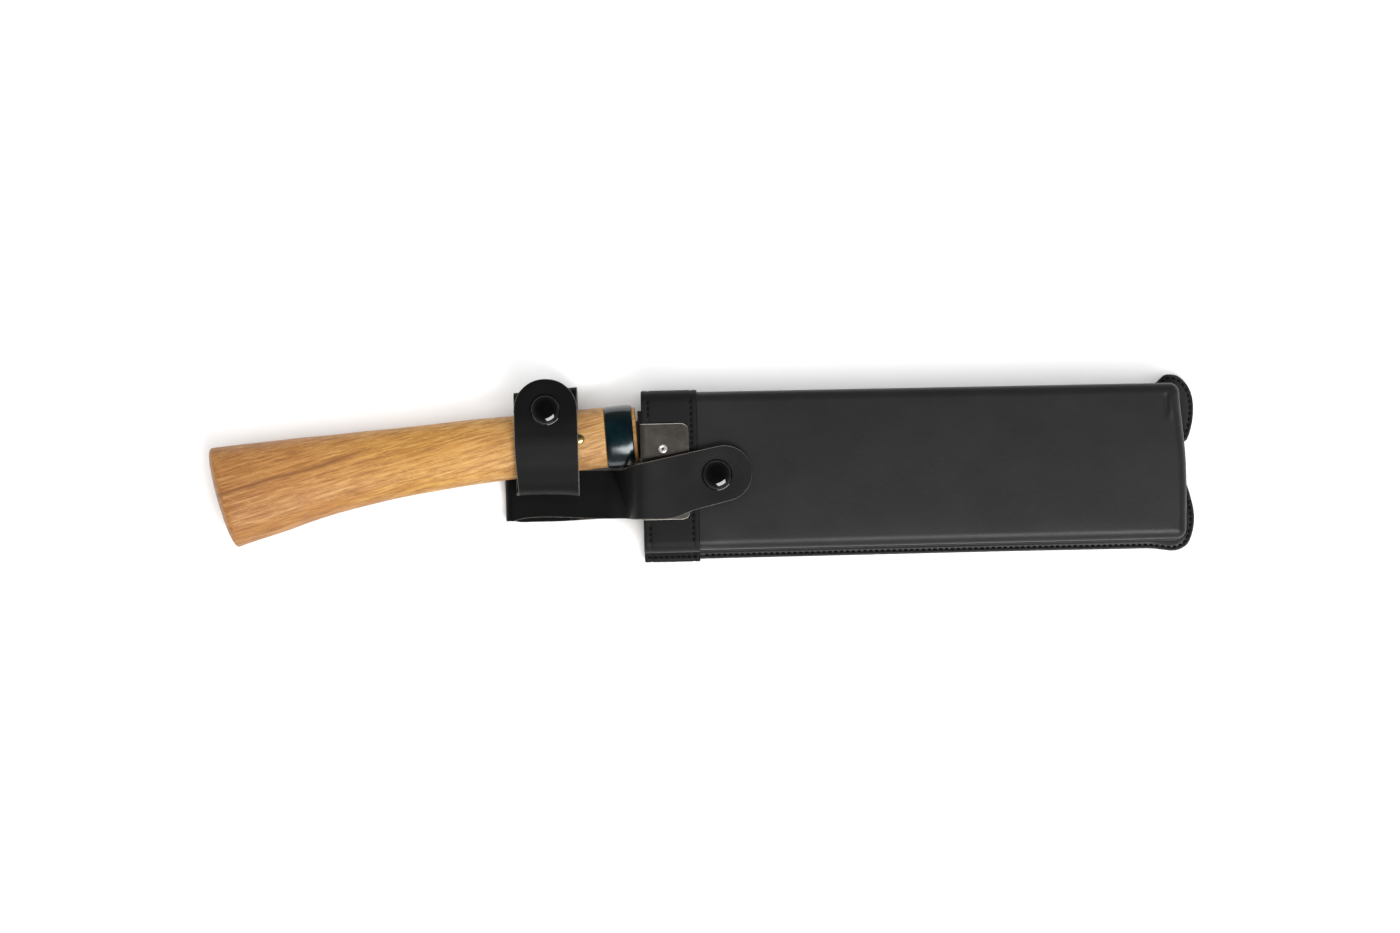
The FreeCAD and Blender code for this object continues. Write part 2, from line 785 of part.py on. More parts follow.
def ferrule():
    """The blued steel ring on the handle's spigot."""
    body = new_body("ferrule")
    made = new_sketch(body, "YZ_Plane")
    for wall in ("ferrule_play", "ferrule_wall"):
        oval(made, f"spigot_half_height + {wall}", f"spigot_half_thick + {wall}")
    ring = pad(body, made, "ferrule_length")
    fillet(body, ring, lambda box: box.YLength > value("spigot_half_height * 2 + ferrule_wall"), "ferrule_round")
    body.Placement.Rotation = FreeCAD.Rotation(FreeCAD.Vector(0, 0, 1), value("spigot_tilt"))
    place(body, "spigot_x + ferrule_gap", "spigot_y", "blade_z")


def handle_pin():
    """The brass cross pin, headed on both sides."""
    body = new_body("handle_pin")
    made = new_sketch(body, "XZ_Plane")
    corners(
        made,
        ("0", "-pin_reach"),
        ("pin_head * crown", "-pin_reach"),
        ("pin_head", "-pin_seat - pin_rim"),
        ("pin_head", "-pin_seat"),
        ("pin_radius", "-pin_seat"),
        ("pin_radius", "pin_seat"),
        ("pin_head", "pin_seat"),
        ("pin_head", "pin_seat + pin_rim"),
        ("pin_head * crown", "pin_reach"),
        ("0", "pin_reach"),
    )
    revolve(body, made)
    place(body, "pin_x", "pin_y", "blade_z")


# ---------------------------------------------------------------- belt strap


def belt_loop():
    """The strip that a belt passes through: riveted root, back layer, fold and front layer."""
    body = new_body("belt_loop")
    made = new_sketch(body, "XZ_Plane", "-belt_top_y")
    fold = value("(belt_gap + gauge) / 2")
    ribbon(
        made,
        (
            ("belt_root_x", "gauge / 2"),
            ("belt_fold_x + gauge / 2", "gauge / 2"),
            ("belt_fold_x + gauge / 2", LAYER_Z),
            ("riser_x - riser_lead", LAYER_Z),
        ),
        (fold, fold),
    )
    pad(body, made, "belt_top_y - belt_low_y")
    belt_rivet_holes(body, "0", "gauge")
    belt_rivet_holes(body, "0", "sunk_head", "belt_rivet_head")
    drill(body, "strap_snap_x", "strap_rivet_y", "belt_rivet_radius", "gauge + belt_gap", "gauge * 2 + belt_gap")
    drill(
        body,
        "strap_snap_x",
        "strap_rivet_y",
        "belt_rivet_head",
        "gauge + belt_gap",
        "gauge + belt_gap + sunk_head",
    )


def belt_strap_riser():
    """The stretch of the belt strap that rises past the mouth to the front face."""
    body = new_body("belt_strap_riser")
    made = new_sketch(body, "XZ_Plane", "-belt_top_y")
    run, rise = value("belt_hinge_x - riser_x"), value(RISE)
    share = 1 - value("flex_reach") / math.hypot(run, rise)
    ribbon(
        made,
        (
            ("riser_x - riser_lead + parting", LAYER_Z),
            ("riser_x", LAYER_Z),
            (
                f"riser_x + (belt_hinge_x - riser_x) * {share}",
                f"{LAYER_Z} + ({RISE}) * {share}",
            ),
        ),
        (value("flex_round"),),
    )
    pad(body, made, "belt_top_y - belt_low_y")


def belt_strap_bend():
    """The flexing stretch between the riser and the tab, at the edge of the mouth."""
    body = new_body("belt_strap_bend")
    made = new_sketch(body, "XZ_Plane", "-belt_top_y")
    run, rise = value("belt_hinge_x - riser_x"), value(RISE)
    share = value("flex_reach - parting") / math.hypot(run, rise)
    ribbon(
        made,
        (
            (
                f"belt_hinge_x - (belt_hinge_x - riser_x) * {share}",
                f"belt_tab_z + gauge / 2 - ({RISE}) * {share}",
            ),
            ("belt_hinge_x", "belt_tab_z + gauge / 2"),
            ("belt_hinge_x + flex_reach - parting", "belt_tab_z + gauge / 2"),
        ),
        (value("flex_round"),),
    )
    pad(body, made, "belt_top_y - belt_low_y")


def belt_strap_tab():
    """The tab with the rounded end, which snaps onto the front face."""
    body = new_body("belt_strap_tab")
    made = new_sketch(body, "XY_Plane", "belt_tab_z")
    tilt = math.radians(value("belt_tab_tilt"))
    way = FreeCAD.Vector(math.cos(tilt), math.sin(tilt), 0)
    left = FreeCAD.Vector(-way.y, way.x, 0)
    half = value("belt_tab_width / 2")
    snap = point("belt_snap_x", "belt_snap_y")
    end = snap + way * value("belt_tab_reach")
    start_x = value("belt_hinge_x + flex_reach")
    starts = []
    for side in (1, -1):
        edge = snap + left * half * side
        starts.append(edge + way * ((start_x - edge.x) / way.x))
    round_end = half - value("parting * 2")
    path = [starts[0], end + left * half, end - left * half, starts[1]]
    for edge in rounded_run(path, (round_end, round_end), 0):
        made.addGeometry(edge)
    made.addGeometry(Part.LineSegment(starts[1], starts[0]))
    pad(body, made, "gauge")
    drill(body, "belt_snap_x", "belt_snap_y", "cap_post", "belt_tab_z", "belt_tab_z + gauge")


def belt_loop_rivets():
    """The two rivets that hold the strap's root, clenched on the floor of the pocket."""
    body = new_body("belt_loop_rivets")
    body.AllowCompound = True
    made = new_sketch(body, "XZ_Plane")
    corners(
        made,
        ("0", "0"),
        ("belt_rivet_head", "0"),
        ("belt_rivet_head", "sunk_head"),
        ("belt_rivet_radius", "sunk_head"),
        ("belt_rivet_radius", "blade_z - pocket_depth / 2 - sunk_head"),
        ("belt_rivet_head", "blade_z - pocket_depth / 2 - sunk_head"),
        ("belt_rivet_head", "blade_z - pocket_depth / 2"),
        ("0", "blade_z - pocket_depth / 2"),
    )
    turned = revolve(body, made)
    repeat_down(body, turned, "belt_rivet_pitch")
    place(body, "belt_rivet_x", "belt_rivet_y", "0")


# ---------------------------------------------------------------- handle strap


def handle_strap_base():
    """The strip behind the handle, bent round its upper side with the stud on its front end."""
    body = new_body("handle_strap_base")
    made = new_sketch(body, "YZ_Plane", "strap_left_x")
    ribbon(
        made,
        (
            ("strap_bend_y + flex_reach", SEAT_Z),
            ("belt_top_y + step_start", SEAT_Z),
            ("belt_top_y + step_end", "strap_run_z + gauge / 2"),
            ("strap_crest_y - gauge / 2", "strap_run_z + gauge / 2"),
            ("strap_crest_y - gauge / 2", "strap_front_z - gauge / 2"),
            ("strap_end_y", "strap_front_z - gauge / 2"),
        ),
        [value(name) for name in ("step_round", "step_foot_round", "strap_back_round", "strap_front_round")],
    )
    pad(body, made, "strap_right_x - strap_left_x")
    drill(
        body,
        "strap_snap_x",
        "strap_rivet_y",
        "belt_rivet_radius",
        "gauge * 2 + belt_gap",
        "gauge * 3 + belt_gap + parting * 2",
    )
    drill(body, "strap_snap_x", "strap_snap_y", "post_radius", "strap_front_z - gauge - plate", "strap_front_z")


def handle_strap_rivet():
    """The rivet that joins the handle strap to the belt strap."""
    body = new_body("handle_strap_rivet")
    made = new_sketch(body, "XZ_Plane")
    corners(
        made,
        ("0", "0"),
        ("belt_rivet_head", "0"),
        ("belt_rivet_head", "sunk_head"),
        ("belt_rivet_radius", "sunk_head"),
        ("belt_rivet_radius", "gauge * 2 + parting"),
        ("belt_rivet_head", "gauge * 2 + parting"),
        ("belt_rivet_head * crown", "gauge * 2 + rivet_head"),
        ("0", "gauge * 2 + rivet_head"),
    )
    revolve(body, made)
    place(body, "strap_snap_x", "strap_rivet_y", "gauge + belt_gap")


def handle_strap_bend():
    """The flexing stretch below the handle, between the back layer and the front layer."""
    body = new_body("handle_strap_bend")
    made = new_sketch(body, "YZ_Plane", "strap_left_x")
    ribbon(
        made,
        (
            ("strap_bend_y + flex_reach - parting", SEAT_Z),
            ("strap_bend_y", SEAT_Z),
            ("strap_bend_y", "gauge * 2.5 + belt_gap + flex_reach"),
        ),
        (value("bend_round"),),
    )
    pad(body, made, "strap_right_x - strap_left_x")


def handle_strap_tab():
    """The front layer, from below the handle over its front to the rounded end."""
    body = new_body("handle_strap_tab")
    made = new_sketch(body, "YZ_Plane", "strap_left_x")
    ribbon(
        made,
        (
            ("strap_bend_y", "gauge * 2.5 + belt_gap + flex_reach + parting"),
            ("strap_bend_y", "strap_front_z - strap_over"),
            ("strap_end_y - lap_start", "strap_front_z - strap_over"),
            ("strap_end_y + lap_end", "strap_tab_z + gauge / 2"),
            ("strap_tab_end_y", "strap_tab_z + gauge / 2"),
        ),
        [value(name) for name in ("side_round", "lap_round", "lap_top_round")],
    )
    strip = pad(body, made, "strap_right_x - strap_left_x")
    fillet(
        body,
        strip,
        lambda box: near(box.YMin, "strap_tab_end_y") and box.ZLength > 0.5,
        "(strap_right_x - strap_left_x) / 2 - tip_flat",
    )
    drill(body, "strap_snap_x", "strap_snap_y", "cap_post", "strap_tab_z", "strap_tab_z + gauge")


# ---------------------------------------------------------------- snap fasteners


def turned_piece(label, where, profile):
    """A turned piece from a profile of radius and height formulas, stood at a place."""
    body = new_body(label)
    made = new_sketch(body, "XZ_Plane")
    corners(made, *profile)
    turned = revolve(body, made)
    place(body, *where)
    return body, turned


def snap(prefix, along, across, base_z, tab_z):
    """One snap fastener: stud and post on the lower leather, socket, spring and cap on the tab."""
    turned_piece(
        f"{prefix}_snap_stud",
        (along, across, base_z),
        (
            ("post_radius", "0"),
            ("stud_flange", "0"),
            ("stud_flange", "plate"),
            ("stud_neck", "plate"),
            ("stud_neck", "stud_neck_top"),
            ("stud_head", "stud_bulge"),
            ("stud_neck", "stud_height"),
            ("post_radius", "stud_height"),
        ),
    )
    turned_piece(
        f"{prefix}_snap_post",
        (along, across, base_z),
        (
            ("0", "-gauge - plate"),
            ("post_flange", "-gauge - plate"),
            ("post_flange", "-gauge"),
            ("post_radius", "-gauge"),
            ("post_radius", "stud_height - parting * 2"),
            ("0", "stud_height - parting * 2"),
        ),
    )
    turned_piece(
        f"{prefix}_snap_socket",
        (along, across, tab_z),
        (
            ("0", "0"),
            ("socket_radius", "0"),
            ("socket_radius", "-socket_height"),
            ("socket_bore", "-socket_height"),
            ("socket_bore", "-socket_height + groove_low"),
            ("socket_groove", "-socket_height + groove_low"),
            ("socket_groove", "-socket_web - parting * 2"),
            ("socket_bore", "-socket_web - parting * 2"),
            ("socket_bore", "-socket_web"),
            ("0", "-socket_web"),
        ),
    )
    cap, turned = turned_piece(
        f"{prefix}_snap_cap",
        (along, across, tab_z),
        (
            ("0", "0"),
            ("cap_post", "0"),
            ("cap_post", "gauge"),
            ("cap_radius", "gauge"),
            ("cap_radius", "gauge + cap_height"),
            ("0", "gauge + cap_height"),
        ),
    )
    fillet(cap, turned, lambda box: near(box.ZMin, "gauge + cap_height"), "cap_round")
    spring = new_body(f"{prefix}_snap_spring")
    made = new_sketch(spring, "XZ_Plane")
    circle(made, "spring_radius", "-socket_height + spring_lift", "spring_wire")
    revolve(spring, made)
    place(spring, along, across, tab_z)


def check_and_write():
    """Stops at a failed object or a bad shape, then writes one STEP file per sub-part."""
    doc.recompute()
    failed = [item.Name for item in doc.Objects if {"Invalid", "Error"} & set(item.State)]
    if failed:
        raise ValueError(f"failed objects: {failed}")
    for body in parts:
        if body.Shape.isNull() or not body.Shape.isValid():
            raise ValueError(f"bad shape: {body.Label}")
    os.makedirs("parts", exist_ok=True)
    for body in parts:
        body.Shape.exportStep(f"parts/{body.Label}.step")
        box = body.Shape.BoundBox
        print(
            f"{body.Label}: {len(body.Shape.Solids)} solid, {body.Shape.Volume:.1f} mm3, "
            f"x {box.XMin:.1f}..{box.XMax:.1f}, y {box.YMin:.1f}..{box.YMax:.1f}, z {box.ZMin:.1f}..{box.ZMax:.1f}"
        )


for build in (
    sheath_cover,
    edge_welt,
    sheath_core_back,
    sheath_core_front,
    mouth_band,
    mouth_clip_front,
    clip_rivets_front,
    cover_thread,
    band_thread,
    blade,
    handle,
    ferrule,
    handle_pin,
    belt_loop,
    belt_strap_riser,
    belt_strap_bend,
    belt_strap_tab,
    belt_loop_rivets,
    handle_strap_base,
    handle_strap_rivet,
    handle_strap_bend,
    handle_strap_tab,
):
    build()
snap("belt", "belt_snap_x", "belt_snap_y", "front_z", "belt_tab_z")
snap("handle", "strap_snap_x", "strap_snap_y", "strap_front_z", "strap_tab_z")
check_and_write()
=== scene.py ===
"""The looks of a sheathed garden knife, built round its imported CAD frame."""

import json
import math

import bmesh
import bpy
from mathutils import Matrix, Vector, noise


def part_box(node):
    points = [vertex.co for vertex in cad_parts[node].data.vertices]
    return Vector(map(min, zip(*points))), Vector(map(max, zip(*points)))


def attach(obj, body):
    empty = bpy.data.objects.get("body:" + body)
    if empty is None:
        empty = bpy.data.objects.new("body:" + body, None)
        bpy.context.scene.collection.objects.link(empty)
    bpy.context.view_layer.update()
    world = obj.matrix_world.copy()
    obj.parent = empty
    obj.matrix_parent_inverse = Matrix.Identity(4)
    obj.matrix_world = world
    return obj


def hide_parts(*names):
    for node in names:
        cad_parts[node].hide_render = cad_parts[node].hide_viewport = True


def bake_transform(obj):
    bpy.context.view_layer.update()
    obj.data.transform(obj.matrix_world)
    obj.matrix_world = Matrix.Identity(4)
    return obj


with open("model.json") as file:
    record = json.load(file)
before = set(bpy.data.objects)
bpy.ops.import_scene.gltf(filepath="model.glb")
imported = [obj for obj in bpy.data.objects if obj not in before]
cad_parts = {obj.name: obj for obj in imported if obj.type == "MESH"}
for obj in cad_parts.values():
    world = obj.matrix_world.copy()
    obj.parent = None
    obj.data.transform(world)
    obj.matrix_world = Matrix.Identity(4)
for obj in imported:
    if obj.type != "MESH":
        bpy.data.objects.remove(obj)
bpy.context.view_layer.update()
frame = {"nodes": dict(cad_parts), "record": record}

MM = 0.001
nodes = frame["nodes"]


def span(node):
    """A CAD node's lowest and highest corner in millimetres."""
    low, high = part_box(node)
    return low / MM, high / MM


# Node trees


class Tree:
    """A short way to write a node tree."""

    def __init__(self, tree, space="Object"):
        self.tree = tree
        self.place = self.add("ShaderNodeTexCoord").outputs[space]

    def add(self, kind, **settings):
        made = self.tree.nodes.new(kind)
        for key, value in settings.items():
            setattr(made, key, value)
        return made

    def put(self, socket, value):
        """Links an output into a socket, or sets the socket to a number or colour."""
        if isinstance(value, bpy.types.NodeSocket):
            self.tree.links.new(value, socket)
        else:
            socket.default_value = value

    def stretch(self, scale, turn=(0, 0, 0)):
        """The object's coordinates turned by degrees, then scaled to cycles a metre."""
        turned = self.add("ShaderNodeMapping")
        self.put(turned.inputs["Vector"], self.place)
        turned.inputs["Rotation"].default_value = [math.radians(a) for a in turn]
        scaled = self.add("ShaderNodeVectorMath", operation="MULTIPLY")
        self.put(scaled.inputs[0], turned.outputs[0])
        scaled.inputs[1].default_value = scale
        return scaled.outputs[0]

    def axis(self, vector, letter):
        """One coordinate of a vector."""
        parts = self.add("ShaderNodeSeparateXYZ")
        self.put(parts.inputs[0], vector)
        return parts.outputs[letter]

    def noise(self, scale, turn=(0, 0, 0), detail=2.0, rough=0.5, distort=0.0):
        """Noise of so many cycles a metre along each axis."""
        made = self.add("ShaderNodeTexNoise")
        self.put(made.inputs["Vector"], self.stretch(scale, turn))
        for key, value in (("Scale", 1.0), ("Detail", detail), ("Roughness", rough), ("Distortion", distort)):
            made.inputs[key].default_value = value
        return made.outputs["Fac"]

    def cells(self, scale):
        """Distance inside cells, so many a metre along each axis."""
        made = self.add("ShaderNodeTexVoronoi")
        self.put(made.inputs["Vector"], self.stretch(scale))
        made.inputs["Scale"].default_value = 1.0
        return made.outputs["Distance"]

    def ramp(self, factor, *stops):
        """A colour ramp with (position, colour) stops."""
        made = self.add("ShaderNodeValToRGB")
        line = made.color_ramp
        for place, colour in stops[1:-1]:
            line.elements.new(place)
        ends = sorted(line.elements, key=lambda e: e.position)
        for element, (place, colour) in zip(ends, stops):
            element.position = place
            element.color = (*colour, 1)
        self.put(made.inputs["Fac"], factor)
        return made.outputs["Color"]

    def shades(self, factor, colour, low, high):
        """A colour times a low factor up to a high one."""
        return self.ramp(factor, (0.3, [c * low for c in colour]), (0.7, [min(1, c * high) for c in colour]))

    def span(self, factor, low, high, to_low=0.0, to_high=1.0):
        """A value's range mapped to another range, clamped."""
        made = self.add("ShaderNodeMapRange")
        self.put(made.inputs["Value"], factor)
        for key, value in (("From Min", low), ("From Max", high), ("To Min", to_low), ("To Max", to_high)):
            made.inputs[key].default_value = value
        return made.outputs["Result"]

    def math(self, operation, a, b=0.0):
        made = self.add("ShaderNodeMath", operation=operation)
        self.put(made.inputs[0], a)
        self.put(made.inputs[1], b)
        return made.outputs[0]

    def mix(self, factor, a, b, how="MIX"):
        made = self.add("ShaderNodeMix", data_type="RGBA", blend_type=how)
        self.put(made.inputs["Factor"], factor)
        self.put(made.inputs[6], a)
        self.put(made.inputs[7], b)
        return made.outputs[2]

    def bump(self, height, depth, strength=1.0, below=None):
        made = self.add("ShaderNodeBump")
        made.inputs["Strength"].default_value = strength
        made.inputs["Distance"].default_value = depth * MM
        self.put(made.inputs["Height"], height)
        if below is not None:
            self.put(made.inputs["Normal"], below)
        return made.outputs["Normal"]


class Look(Tree):
    """A new material's node tree."""

    def __init__(self, name):
        self.material = bpy.data.materials.new(name)
        self.material.use_nodes = True
        super().__init__(self.material.node_tree)

    def set(self, **values):
        """Sets or links the shader's sockets, named with _ for a space, and gives back the material."""
        for key, value in values.items():
            self.put(self.tree.nodes["Principled BSDF"].inputs[key.replace("_", " ")], value)
        return self.material


def leather(name, colour, rough, grain=0.035, shine=0.34, painted_shade=None):
    """Smooth coated leather: faint pebble grain, cloudy sheen, a few soft scuffs.

    painted_shade darkens the colour and the shine along an axis, painting shade onto the leather: the axis,
    its start and end in mm, and (share, factor) stops."""
    t = Look(name)
    cloud = t.noise((45, 60, 60), detail=5, rough=0.6)
    fine = t.noise((900, 900, 900), detail=3)
    pebble = t.cells((1400, 1400, 1400))
    scuff = t.noise((90, 380, 380), turn=(0, 0, 12), detail=6, rough=0.7)
    base = t.shades(cloud, colour, 0.93, 1.1)
    worn = t.span(scuff, 0.64, 0.8)
    base = t.mix(t.math("MULTIPLY", worn, 0.25), base, (*[c * 1.9 for c in colour], 1))
    gloss = t.math("ADD", t.span(cloud, 0.3, 0.7, rough - 0.02, rough + 0.02), t.math("MULTIPLY", worn, 0.06))
    gloss = t.math("ADD", gloss, t.span(fine, 0.3, 0.7, -0.03, 0.03))
    normal = t.bump(pebble, grain, 0.6)
    normal = t.bump(fine, grain * 0.6, 0.5, normal)
    t.set(Base_Color=base, Roughness=gloss, Normal=normal, Specular_IOR_Level=shine)
    # Painted shade: the base colour and the shine are multiplied down by place along one axis.
    if painted_shade:
        axis, start, end, *stops = painted_shade
        share = t.span(t.axis(t.place, axis), start * MM, end * MM)
        share = t.ramp(share, *[(place, (factor,) * 3) for place, factor in stops])
        t.set(Base_Color=t.mix(1.0, base, share, "MULTIPLY"))
        t.set(Specular_IOR_Level=t.math("MULTIPLY", share, shine))
    return t.material


def raw_edge(name, colour):
    """The cut edge of leather: short fibres in layers, a little paler than the face."""
    t = Look(name)
    fibre = t.noise((700, 700, 2600), detail=4, rough=0.7)
    base = t.shades(fibre, colour, 0.5, 1.4)
    return t.set(Base_Color=base, Roughness=0.8, Normal=t.bump(fibre, 0.12, 0.8))


# The grain's turn and the dark streak's slope in degrees, and the streak's height in metres.
GRAIN_TURN = (6, 0, -15)
VEIN_SLOPE, VEIN_HEIGHT = -18.3, 0.0545


def oak():
    """Oiled oak: fine grain along the handle, short dark pores, redder towards the butt, one dark streak."""
    t = Look("oak")
    broad = t.noise((14, 55, 45), GRAIN_TURN, detail=3)
    bands = t.noise((30, 480, 380), GRAIN_TURN, detail=5, rough=0.65, distort=0.4)
    streaks = t.noise((60, 1050, 900), GRAIN_TURN, detail=5, rough=0.72)
    pores = t.noise((110, 1700, 1400), GRAIN_TURN, detail=2, rough=0.6)
    flecks = t.noise((420, 1500, 1500), (6, 0, 28), detail=2)
    along = t.axis(t.place, "X")
    base = t.ramp(
        bands,
        (0.28, (0.340, 0.146, 0.042)),
        (0.44, (0.444, 0.207, 0.059)),
        (0.58, (0.488, 0.241, 0.075)),
        (0.76, (0.548, 0.292, 0.102)),
    )
    tone = t.ramp(broad, (0.32, (0.84, 0.76, 0.66)), (0.52, (1, 1, 1)), (0.7, (1.0, 0.97, 0.90)))
    base = t.mix(0.8, base, tone, "MULTIPLY")
    butt = t.span(along, -0.196, -0.135, 0.55, 0)
    base = t.mix(butt, base, (0.348, 0.146, 0.045, 1))
    for mask, start, end, most, colour in (
        (streaks, 0.52, 0.62, 0.72, (0.266, 0.103, 0.029, 1)),
        (streaks, 0.48, 0.38, 0.6, (0.622, 0.367, 0.150, 1)),
        (flecks, 0.58, 0.7, 0.28, (0.622, 0.381, 0.162, 1)),
    ):
        base = t.mix(t.span(mask, start, end, 0, most), base, colour)
    rise = t.axis(t.stretch((1, 1, 1), (0, 0, VEIN_SLOPE)), "Y")
    wander = t.math("ADD", rise, t.span(broad, 0.3, 0.7, -0.002, 0.002))
    beside = t.math("ABSOLUTE", t.math("SUBTRACT", wander, VEIN_HEIGHT))
    vein = t.span(beside, 0.0, 0.0015, 0.75, 0)
    vein = t.math("MULTIPLY", vein, t.span(along, -0.15, -0.12, 1, 0))
    base = t.mix(vein, base, (0.178, 0.065, 0.021, 1))
    dark = t.span(pores, 0.55, 0.65)
    base = t.mix(t.math("MULTIPLY", dark, 0.45), base, (0.200, 0.078, 0.024, 1))
    age = t.ramp(
        t.span(along, -0.200, -0.030),
        (0.07, (0.74, 0.69, 0.56)),
        (0.27, (0.80, 0.77, 0.63)),
        (0.51, (0.89, 0.92, 0.62)),
        (0.66, (0.91, 0.95, 0.78)),
        (0.92, (0.84, 0.93, 1.00)),
    )
    base = t.mix(1.0, base, age, "MULTIPLY")
    gloss = t.span(streaks, 0.3, 0.7, 0.44, 0.56)
    normal = t.bump(t.math("MULTIPLY", dark, -1), 0.08, 0.7)
    normal = t.bump(streaks, 0.1, 0.5, normal)
    return t.set(Base_Color=base, Roughness=gloss, Normal=normal, Specular_IOR_Level=0.4)


def board():
    """Plain planed softwood for the sheath's inner boards."""
    t = Look("core_wood")
    bands = t.noise((12, 240, 240), detail=4, distort=0.4)
    pores = t.noise((90, 1800, 1800), detail=2)
    base = t.ramp(bands, (0.3, (0.50, 0.34, 0.19)), (0.7, (0.74, 0.58, 0.38)))
    base = t.mix(t.span(pores, 0.58, 0.7, 0, 0.3), base, (0.35, 0.2, 0.1, 1))
    return t.set(Base_Color=base, Roughness=0.72, Normal=t.bump(pores, 0.08, 0.5))


SPREAD = 0.08


def metal(name, colour, rough, grain=(400, 400, 400), depth=0.01, metallic=1.0):
    """Bare or plated metal with a directional finish and slight stains."""
    t = Look(name)
    brushed = t.noise(grain, detail=4, rough=0.65)
    stain = t.noise((130, 130, 130), detail=4)
    base = t.shades(stain, colour, 0.94, 1.04)
    gloss = t.span(brushed, 0.3, 0.7, rough - SPREAD, rough + SPREAD)
    gloss = t.math("ADD", gloss, t.span(stain, 0.4, 0.75, 0, 0.05))
    return t.set(Base_Color=base, Roughness=gloss, Metallic=metallic, Normal=t.bump(brushed, depth, 0.6))


def blued():
    """Heat-blued, lacquered steel: blue-black with a teal cast that comes and goes."""
    t = Look("blued_steel")
    cloud = t.noise((75, 75, 75), detail=4, rough=0.6)
    fine = t.noise((700, 700, 700), detail=3)
    base = t.ramp(
        cloud, (0.32, (0.001, 0.003, 0.004)), (0.5, (0.001, 0.008, 0.011)), (0.7, (0.002, 0.017, 0.023))
    )
    gloss = t.span(fine, 0.3, 0.7, 0.16, 0.26)
    t.set(Base_Color=base, Roughness=gloss, Metallic=0.35, Coat_Weight=0.6, Coat_Roughness=0.2)
    return t.set(Normal=t.bump(fine, 0.03, 0.5, t.bump(cloud, 0.2, 0.5)))


BEVEL_WIDTH = 15.0


def forged():
    """Forge scale on the blade, with a ground and polished bevel along the edge."""
    t = Look("forged_steel")
    scale = t.noise((220, 260, 220), detail=6, rough=0.7)
    grind = t.noise((2600, 90, 90), detail=3, rough=0.6)
    ragged = t.math("ADD", t.axis(t.place, "Y"), t.span(scale, 0.3, 0.7, -0.0005, 0.0005))
    edge_y = span("blade")[0].y
    bare = t.span(ragged, (edge_y + BEVEL_WIDTH) * MM, (edge_y + BEVEL_WIDTH + 0.6) * MM, 1, 0)
    skin = t.ramp(scale, (0.3, (0.035, 0.037, 0.04)), (0.7, (0.11, 0.11, 0.115)))
    steel = t.ramp(grind, (0.3, (0.42, 0.42, 0.43)), (0.7, (0.62, 0.62, 0.63)))
    t.set(Base_Color=t.mix(bare, skin, steel), Metallic=0.9)
    t.set(Roughness=t.math("SUBTRACT", t.span(scale, 0.3, 0.7, 0.42, 0.62), t.math("MULTIPLY", bare, 0.22)))
    return t.set(Normal=t.bump(t.mix(bare, scale, grind), 0.05, 0.6))


def enamel():
    """High-gloss black enamel over brass, with a few hair scratches."""
    t = Look("black_enamel")
    hair = t.noise((300, 2600, 2600), turn=(0, 0, 35), detail=3)
    fine = t.noise((500, 500, 500), detail=3)
    base = t.ramp(fine, (0.3, (0.0012, 0.0012, 0.0013)), (0.7, (0.0022, 0.0022, 0.0024)))
    t.set(Base_Color=base, Roughness=t.span(hair, 0.55, 0.75, 0.06, 0.2), Specular_IOR_Level=0.15)
    t.set(Coat_Weight=1.0, Coat_Roughness=0.03)
    return t.set(Normal=t.bump(fine, 0.01, 0.4))


def waxed_thread():
    """Waxed black thread, twisted."""
    t = Look("thread")
    twist = t.noise((3000, 3000, 3000), detail=2)
    base = t.ramp(twist, (0.3, (0.0015, 0.0015, 0.0015)), (0.7, (0.005, 0.005, 0.005)))
    t.set(Base_Color=base, Roughness=t.span(twist, 0.3, 0.7, 0.6, 0.8), Specular_IOR_Level=0.12)
    return t.set(Normal=t.bump(twist, 0.08, 0.8))


STRAP_GRAIN = 0.05
